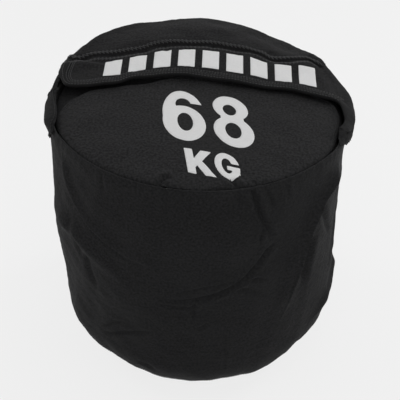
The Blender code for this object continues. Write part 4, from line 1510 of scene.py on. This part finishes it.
def noiseOf(tree, vector, scale, detail=2.0):
    node = tree.nodes.new("ShaderNodeTexNoise")
    tree.links.new(vector, node.inputs["Vector"])
    connect(tree, scale, node.inputs["Scale"])
    node.inputs["Detail"].default_value = detail
    return node.outputs["Fac"]


def colourBetween(tree, factor, low, high):
    node = tree.nodes.new("ShaderNodeMix")
    node.data_type = "RGBA"
    for source, socket in ((factor, node.inputs[0]), (low, node.inputs[6]), (high, node.inputs[7])):
        connect(tree, source, socket)
    return node.outputs[2]


def clothMap(tree):
    node = tree.nodes.new("ShaderNodeUVMap")
    node.uv_map = "cloth"
    return node.outputs[0]


def newGroup(name, inputs, outputs):
    group = bpy.data.node_groups.new(name, "ShaderNodeTree")
    kind = "NodeSocketFloat"
    for label, value in inputs:
        socket = group.interface.new_socket(name=label, in_out="INPUT", socket_type=kind)
        socket.default_value = value
    for label in outputs:
        group.interface.new_socket(name=label, in_out="OUTPUT", socket_type=kind)
    start = group.nodes.new("NodeGroupInput").outputs
    end = group.nodes.new("NodeGroupOutput").inputs
    return group, start, end


# Plain weave: rounded threads that pass over and under each other
def makeWeaveGroup():
    group, start, end = newGroup("plainWeave", [("Pitch", 0.0007)], ["Height", "Tone"])
    parts = group.nodes.new("ShaderNodeSeparateXYZ")
    group.links.new(clothMap(group), parts.inputs[0])
    waves = []
    for axis in (0, 1):
        turns = calc(group, "DIVIDE", parts.outputs[axis], start["Pitch"])
        waves.append(calc(group, "SINE", calc(group, "MULTIPLY", turns, math.pi)))
    product = calc(group, "MULTIPLY", *waves)
    overTop = calc(group, "GREATER_THAN", product, 0.0)
    domes = [calc(group, "ABSOLUTE", wave) for wave in waves]
    crossed = calc(group, "MULTIPLY", *domes)
    difference = calc(group, "SUBTRACT", domes[1], domes[0])
    thread = calc(group, "MULTIPLY_ADD", difference, overTop, domes[0])
    height = calc(group, "MULTIPLY_ADD", thread, 0.35, calc(group, "MULTIPLY", crossed, 0.65))
    group.links.new(height, end["Height"])
    tone = calc(group, "MULTIPLY_ADD", overTop, 0.30, calc(group, "MULTIPLY", crossed, 0.70))
    group.links.new(tone, end["Tone"])
    return group


# Unevenness of a used cloth: small specks of raised yarn and wide cloudy places
def makeMottleGroup():
    group, start, end = newGroup("clothMottle", [("Speck Size", 0.003), ("Cloud Size", 0.07)],
                                 ["Specks", "Clouds"])
    place = clothMap(group)
    specks = noiseOf(group, place, calc(group, "DIVIDE", 1.0, start["Speck Size"]), 3.0)
    clouds = noiseOf(group, place, calc(group, "DIVIDE", 1.0, start["Cloud Size"]), 4.0)
    group.links.new(specks, end["Specks"])
    group.links.new(clouds, end["Clouds"])
    return group


# Narrow ribs across a woven tape, a little slanted
def makeRibGroup():
    group, start, end = newGroup("tapeRibs", [("Pitch", 0.0011)], ["Height", "Tone"])
    parts = group.nodes.new("ShaderNodeSeparateXYZ")
    group.links.new(clothMap(group), parts.inputs[0])
    turns = calc(group, "DIVIDE", parts.outputs[0], start["Pitch"])
    slant = calc(group, "MULTIPLY", calc(group, "DIVIDE", parts.outputs[1], start["Pitch"]), 0.5)
    wave = calc(group, "SINE", calc(group, "MULTIPLY", calc(group, "ADD", turns, slant), math.pi))
    dome = calc(group, "ABSOLUTE", wave)
    group.links.new(dome, end["Height"])
    group.links.new(calc(group, "POWER", dome, 0.6), end["Tone"])
    return group


groups = {"plainWeave": makeWeaveGroup(), "clothMottle": makeMottleGroup(),
          "tapeRibs": makeRibGroup()}


def useGroup(tree, name, **values):
    node = tree.nodes.new("ShaderNodeGroup")
    node.node_tree = groups[name]
    for label, value in values.items():
        node.inputs[label.replace("_", " ")].default_value = value
    return node.outputs


def newMaterial(name, roughness, specular):
    material = bpy.data.materials.new(name)
    material.use_nodes = True
    shader = material.node_tree.nodes["Principled BSDF"]
    shader.inputs["Roughness"].default_value = roughness
    shader.inputs["Specular IOR Level"].default_value = specular
    return material, material.node_tree, shader


# A mean of several patterns round a half, each with its share
def toneOf(tree, *patterns):
    total = 0.5
    for pattern, share in patterns:
        moved = calc(tree, "SUBTRACT", pattern, 0.5)
        total = calc(tree, "MULTIPLY_ADD", moved, share, total)
    return total


def bumpOf(tree, shader, height, strength=1.0):
    node = tree.nodes.new("ShaderNodeBump")
    node.inputs["Strength"].default_value = strength
    node.inputs["Distance"].default_value = 1.0
    tree.links.new(height, node.inputs["Height"])
    tree.links.new(node.outputs[0], shader.inputs["Normal"])


def makeCloth(name, values):
    material, tree, shader = newMaterial(name, values["roughness"], values["specular"])
    pattern = useGroup(tree, values.get("pattern", "plainWeave"), Pitch=values["pitch"])
    mottle = useGroup(tree, "clothMottle", Speck_Size=values["speckSize"],
                      Cloud_Size=values["cloudSize"])
    tone = toneOf(tree, (pattern["Tone"], values["weaveTone"]),
                  (mottle["Specks"], values["speckTone"]), (mottle["Clouds"], values["cloudTone"]))
    colour = colourBetween(tree, tone, (*values["dark"], 1.0), (*values["light"], 1.0))
    tree.links.new(colour, shader.inputs["Base Color"])
    rough = calc(tree, "MULTIPLY_ADD", calc(tree, "SUBTRACT", mottle["Clouds"], 0.5), 0.25,
                 values["roughness"])
    tree.links.new(rough, shader.inputs["Roughness"])
    height = calc(tree, "MULTIPLY", pattern["Height"], values["weaveDepth"])
    height = calc(tree, "MULTIPLY_ADD", mottle["Specks"], values["speckDepth"], height)
    bumpOf(tree, shader, height)
    return material


nylonValues = {"roughness": 0.80, "specular": 0.10, "pitch": 0.00068, "speckSize": 0.0031,
               "cloudSize": 0.060, "weaveTone": 0.5, "speckTone": 3.4, "cloudTone": 1.0,
               "weaveDepth": 0.00010, "speckDepth": 0.00035,
               "dark": (0.0060, 0.0060, 0.0064), "light": (0.0220, 0.0220, 0.0229)}
threadValues = {"pattern": "tapeRibs", "pitch": 0.00050, "weaveDepth": 0.00008, "speckTone": 0.6,
                "roughness": 0.60, "dark": (0.0110, 0.0110, 0.0115),
                "light": (0.0340, 0.0340, 0.0350)}
# Each is like the nylon but for the values given here. The wall, panel, hood and flap nylons differ
# in colour only as painted light and shade.
clothValues = {
    "wallNylonPaintedLight": {"roughness": 0.72, "specular": 0.07, "speckTone": 2.0, "speckDepth": 0.00026,
                  "dark": (0.0090, 0.0090, 0.0094), "light": (0.0275, 0.0275, 0.0284)},
    "panelNylonPaintedLight": {"dark": (0.0080, 0.0080, 0.0084), "light": (0.0255, 0.0255, 0.0263)},
    "flapNylonPaintedShade": {"speckDepth": 0.00055, "dark": (0.0045, 0.0045, 0.0048),
                  "light": (0.0175, 0.0175, 0.0182)},
    "hoodNylonPaintedShade": {"dark": (0.0060, 0.0060, 0.0064), "light": (0.0200, 0.0200, 0.0207)},
    "lining": {"roughness": 0.82, "pitch": 0.00052, "weaveDepth": 0.00006, "speckDepth": 0.00012,
               "dark": (0.0085, 0.0085, 0.0090), "light": (0.0200, 0.0200, 0.0210)},
    "bindingTape": {"pattern": "tapeRibs", "pitch": 0.00110, "weaveDepth": 0.00010,
                    "speckTone": 0.9, "speckDepth": 0.00016,
                    "dark": (0.0030, 0.0030, 0.0032), "light": (0.0120, 0.0120, 0.0125)},
    "thread": threadValues,
    "rowThread": {**threadValues, "dark": (0.0260, 0.0260, 0.0268),
                  "light": (0.0850, 0.0850, 0.0865)},
    "linerFilm": {"roughness": 0.46, "specular": 0.45, "pitch": 0.00240, "weaveDepth": 0.00012,
                  "speckTone": 0.5, "dark": (0.62, 0.62, 0.58), "light": (0.80, 0.80, 0.76)},
    "tiePlastic": {"pattern": "tapeRibs", "roughness": 0.48, "specular": 0.50, "pitch": 0.00120,
                   "weaveDepth": 0.00014, "speckTone": 0.4, "speckDepth": 0.00004,
                   "dark": (0.54, 0.54, 0.52), "light": (0.66, 0.66, 0.64)},
    "drySand": {"roughness": 0.90, "specular": 0.20, "pitch": 0.00090, "speckSize": 0.0008,
                "speckTone": 2.6, "speckDepth": 0.00030, "dark": (0.44, 0.34, 0.22),
                "light": (0.70, 0.58, 0.42)},
    "whiteInk": {"roughness": 0.62, "specular": 0.30, "weaveDepth": 0.00005, "weaveTone": 0.3,
                 "speckTone": 0.7, "cloudTone": 0.5, "speckDepth": 0.00008,
                 "dark": (0.78, 0.78, 0.78), "light": (0.90, 0.90, 0.90)},
}
cloths = {name: makeCloth(name, {**nylonValues, **values}) for name, values in clothValues.items()}


# Hook tape: rows of small moulded hooks. Loop tape: a brushed pile.
hookTape = {"roughness": 0.50, "specular": 0.35, "perMetre": 780.0, "randomness": 0.25,
            "speckSize": 0.0030, "cloudSize": 0.0500, "hookTone": 1.2, "cloudTone": 0.5,
            "dark": (0.010, 0.010, 0.011, 1.0), "light": (0.036, 0.036, 0.038, 1.0),
            "depth": 0.0006}
loopTape = {"roughness": 0.95, "specular": 0.10, "sheen": 0.10, "speckSize": 0.0009,
            "cloudSize": 0.0140, "speckTone": 1.8, "cloudTone": 0.9,
            "dark": (0.007, 0.007, 0.008, 1.0), "light": (0.030, 0.030, 0.032, 1.0),
            "depth": 0.0009}


# The base colour and the relief of a tape
def finishTape(tree, shader, values, tone, height):
    colour = colourBetween(tree, tone, values["dark"], values["light"])
    tree.links.new(colour, shader.inputs["Base Color"])
    bumpOf(tree, shader, calc(tree, "MULTIPLY", height, values["depth"]))


def makeHookTape(values):
    material, tree, shader = newMaterial("hookTape", values["roughness"], values["specular"])
    cells = tree.nodes.new("ShaderNodeTexVoronoi")
    cells.inputs["Scale"].default_value = values["perMetre"]
    cells.inputs["Randomness"].default_value = values["randomness"]
    tree.links.new(clothMap(tree), cells.inputs["Vector"])
    hooks = calc(tree, "SUBTRACT", 1.0, calc(tree, "MINIMUM", cells.outputs["Distance"], 1.0))
    mottle = useGroup(tree, "clothMottle", Speck_Size=values["speckSize"],
                      Cloud_Size=values["cloudSize"])
    tone = toneOf(tree, (hooks, values["hookTone"]), (mottle["Clouds"], values["cloudTone"]))
    finishTape(tree, shader, values, tone, hooks)
    return material


def makeLoopTape(values):
    material, tree, shader = newMaterial("loopTape", values["roughness"], values["specular"])
    shader.inputs["Sheen Weight"].default_value = values["sheen"]
    mottle = useGroup(tree, "clothMottle", Speck_Size=values["speckSize"],
                      Cloud_Size=values["cloudSize"])
    tone = toneOf(tree, (mottle["Specks"], values["speckTone"]),
                  (mottle["Clouds"], values["cloudTone"]))
    finishTape(tree, shader, values, tone, mottle["Specks"])
    return material


cloths["hookTape"] = makeHookTape(hookTape)
cloths["loopTape"] = makeLoopTape(loopTape)


# What each piece is made of: material and the record's material slot
finishes = [
    # The four nylons are one cloth: the wall is painted lightest, then the panel and the hood, and
    # the flap darkest, as painted light and shade.
    ("wallNylonPaintedLight", "nylon_fabric", [sideWall, bagBottom, sideLap]),
    ("panelNylonPaintedLight", "nylon_fabric", [topPanel]),
    ("flapNylonPaintedShade", "nylon_fabric", [flapSheet, leftWing, innerFlap]),
    ("hoodNylonPaintedShade", "nylon_fabric", [hood]),
    ("lining", "lining_fabric", [liningSheet, frontFacing, rearFacing]),
    ("bindingTape", "binding_tape", [hemTape, seamTape, rimSeamTape, bottomSeamTape]),
    ("rowThread", "binding_tape", [tapeStitches, clothStitches]),
    ("thread", "binding_tape", [stripStitches, wallStitches, lipStitches, innerStitches]),
    ("whiteInk", "nylon_fabric", [flapPrint, *markPieces]),
    ("hookTape", "hook_tape", [innerHooks, flapHooks, *wingPatches]),
    ("loopTape", "loop_tape", [innerLoops, frontLoops, *sidePatches]),
    ("linerFilm", "liner_film", [sandLiner]),
    ("tiePlastic", "tie_plastic", [tieBand, tieHead]),
    ("drySand", "dry_sand", [sandFill]),
]
slotOf = {}
for finish, slot, items in finishes:
    for item in items:
        item.data.materials.append(cloths[finish])
        slotOf[item.name] = slot
print("materials made")


# Pieces onto their bodies. The flap's cloth is cut where its wings begin, so that each part
# crosses one joint.

joints = {
    "flap": {"start": (0.0, flapRear, 0.39), "end": (0.0, 0.110, 0.39)},
    "left": {"start": (-0.173, 0.0, 0.38), "end": (-0.188, 0.0, 0.38)},
    "right": {"start": (0.173, 0.0, 0.38), "end": (0.188, 0.0, 0.38)},
    "cut": 0.172,
}


def cutAndRide(source):
    name, slot, cut = source.name, slotOf[source.name], joints["cut"]
    parts = {"left": partOf(source, name + "Left", lambda x, y: x < -cut),
             "middle": partOf(source, name + "Middle", lambda x, y: abs(x) <= cut),
             "right": partOf(source, name + "Right", lambda x, y: x > cut)}
    bpy.data.objects.remove(source)
    parts = {side: part for side, part in parts.items() if part}
    for side, part in parts.items():
        if side == "middle":
            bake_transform(part)
        else:
            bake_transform(part)
    return parts


def rideAll(body, *items):
    for item in items:
        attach(item, body)


flapParts, liningParts, hemParts, seamParts, tapeStitchParts, clothStitchParts = (
    cutAndRide(source) for source in (flapSheet, liningSheet, hemTape, seamTape, tapeStitches,
                                      clothStitches))
for item in (leftWing, stripStitches):
    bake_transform(item)
rideAll("root", sideWall, bagBottom, sideLap, topPanel, hood, frontFacing, rearFacing, rimSeamTape,
        bottomSeamTape, wallStitches, lipStitches, frontLoops, *sidePatches, *markPieces, sandLiner,
        sandFill, tieBand, tieHead)
rideAll("closure_flap", flapHooks, flapPrint)
rideAll("inner_closure", innerFlap, innerHooks, innerLoops, innerStitches)
rideAll("left_wing", wingPatches[0])
rideAll("right_wing", wingPatches[1])

for item, node in ((sideWall, "side_wall"), (sideLap, "side_seam_lap"),
                   (rimSeamTape, "top_seam_binding"), (bagBottom, "bottom_panel"),
                   (bottomSeamTape, "bottom_seam_binding"), (topPanel, "front_top_panel"),
                   (frontFacing, "front_mouth_facing"), (rearFacing, "rear_mouth_facing"),
                   (hood, "rear_hood"), (frontLoops, "front_loop_tape"),
                   (seamParts["middle"], "flap_seam_tape"), (flapParts["middle"], "flap_outer"),
                   (liningParts["middle"], "flap_lining"), (flapHooks, "flap_hook_tape"),
                   (hemParts["middle"], "flap_edge_binding"), (leftWing, "wing_left"),
                   (flapParts["right"], "wing_right"), (sidePatches[0], "side_loop_patch_left"),
                   (sidePatches[1], "side_loop_patch_right"),
                   (wingPatches[0], "wing_hook_patch_left"),
                   (wingPatches[1], "wing_hook_patch_right"), (innerFlap, "inner_flap"),
                   (innerHooks, "inner_hook_tape"), (innerLoops, "inner_loop_tape"),
                   (sandLiner, "sand_liner"), (tieBand, "liner_tie"), (sandFill, "sand_fill")):
    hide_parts(node)
print("pieces ride on their bodies")


# Every cloth, with the flat size it was cut to

def flatSize(item):
    flat, _ = flatPlaces[item.name]
    width, length = (float(v) for v in np.ptp(flat, axis=0))
    total = 0.0
    for face in item.data.polygons:
        x, y = flat[list(face.vertices)].T
        total += 0.5 * abs(np.dot(x, np.roll(y, -1)) - np.dot(y, np.roll(x, -1)))
    return width, length, min(total / 2.0, width * length)


def declareSheet(item, held, restsOn, *going):
    width, length, area = flatSize(item)
    if area < 0.32 * width * length:     # a narrow curved strip, given as it would lie straight
        length = area / width
    print("cloth", item.name, round(width, 3), "by", round(length, 3), "area", round(area, 4))


def trimOn(side):
    trims = (hemParts, seamParts, tapeStitchParts, clothStitchParts)
    return [trim[side] for trim in trims if side in trim]


declareSheet(flapParts["middle"], "laid", ["innerFlap", "topPanel"], *trimOn("middle"), flapPrint)
declareSheet(flapParts["left"], "laid", ["leftWing"], *trimOn("left"))
declareSheet(flapParts["right"], "folded", ["sideWall"], wingPatches[1], *trimOn("right"))
declareSheet(liningParts["middle"], "laid", ["innerFlap"], flapHooks)
declareSheet(liningParts["left"], "laid", ["leftWing"])
declareSheet(liningParts["right"], "folded", ["sideWall"])
declareSheet(leftWing, "folded", ["sideWall"], wingPatches[0], stripStitches)
declareSheet(hood, "stretched", ["mouthFacingRear", "sideWall"])
declareSheet(topPanel, "stretched", ["sideWall"], lipStitches, *markPieces)
declareSheet(frontFacing, "laid", ["sandLiner"], frontLoops)
declareSheet(rearFacing, "laid", ["sandLiner"])
declareSheet(innerFlap, "laid", ["mouthFacingFront", "mouthFacingRear"], innerHooks, innerLoops,
             innerStitches)


# Floor, backdrop and light

stage = {
    "floorTone": 0.60,
    "floorSeen": 0.80,           # how much of the white backdrop the camera sees on the floor
    "sky": 0.27,
    "lamps": [("lampTop", (0.2, 0.1, 2.1), (1.6, 1.2), 7.5),
              ("lampFront", (0.2, -2.4, 1.3), (1.8, 1.4), 14.0),
              ("lampRight", (1.8, 1.1, 1.2), (0.6, 0.8), 13.0),
              ("lampLeft", (-1.8, 0.8, 1.2), (0.6, 0.8), 8.0)],
}


# White towards the camera and in reflections, and otherwise as bright as it lights
def whiteWhenSeen(tree, lighting, white, share, output):
    ray = tree.nodes.new("ShaderNodeLightPath")
    seenBy = ray.outputs["Is Camera Ray"]
    for name in ("Is Glossy Ray", "Is Transmission Ray"):
        seenBy = calc(tree, "MAXIMUM", seenBy, ray.outputs[name])
    mixed = tree.nodes.new("ShaderNodeMixShader")
    tree.links.new(calc(tree, "MULTIPLY", seenBy, share), mixed.inputs["Fac"])
    tree.links.new(lighting.outputs[0], mixed.inputs[1])
    tree.links.new(white.outputs[0], mixed.inputs[2])
    tree.links.new(mixed.outputs[0], tree.nodes[output].inputs["Surface"])


def makeStage():
    half = 8.0
    corners = [(-half, -half, 0), (half, -half, 0), (half, half, 0), (-half, half, 0)]
    floor = makeObject("floor", corners, [(0, 1, 2, 3)])
    material = bpy.data.materials.new("floorPale")
    material.use_nodes = True
    tree = material.node_tree
    tree.nodes.remove(tree.nodes["Principled BSDF"])
    diffuse = tree.nodes.new("ShaderNodeBsdfDiffuse")
    diffuse.inputs["Color"].default_value = (*[stage["floorTone"]] * 3, 1.0)
    glow = tree.nodes.new("ShaderNodeEmission")
    glow.inputs["Color"].default_value = (1.0, 1.0, 1.0, 1.0)
    whiteWhenSeen(tree, diffuse, glow, stage["floorSeen"], "Material Output")
    floor.data.materials.append(material)


def makeWorld():
    world = bpy.data.worlds.new("studio")
    bpy.context.scene.world = world
    world.use_nodes = True
    tree = world.node_tree
    lighting = tree.nodes["Background"]
    lighting.inputs["Color"].default_value = (1.0, 1.0, 1.0, 1.0)
    lighting.inputs["Strength"].default_value = stage["sky"]
    white = tree.nodes.new("ShaderNodeBackground")
    white.inputs["Color"].default_value = (1.0, 1.0, 1.0, 1.0)
    white.inputs["Strength"].default_value = 1.0
    whiteWhenSeen(tree, lighting, white, 1.0, "World Output")


def makeLamp(name, place, size, power):
    data = bpy.data.lights.new(name, "AREA")
    data.shape = "RECTANGLE"
    data.size, data.size_y = size
    data.energy = power
    lamp = bpy.data.objects.new(name, data)
    bpy.context.scene.collection.objects.link(lamp)
    lamp.location = place
    aim = Vector((0.0, 0.0, 0.25)) - Vector(place)
    lamp.rotation_euler = aim.to_track_quat("-Z", "Y").to_euler()


makeStage()
makeWorld()
for values in stage["lamps"]:
    makeLamp(*values)
bpy.context.scene.view_settings.view_transform = "Standard"
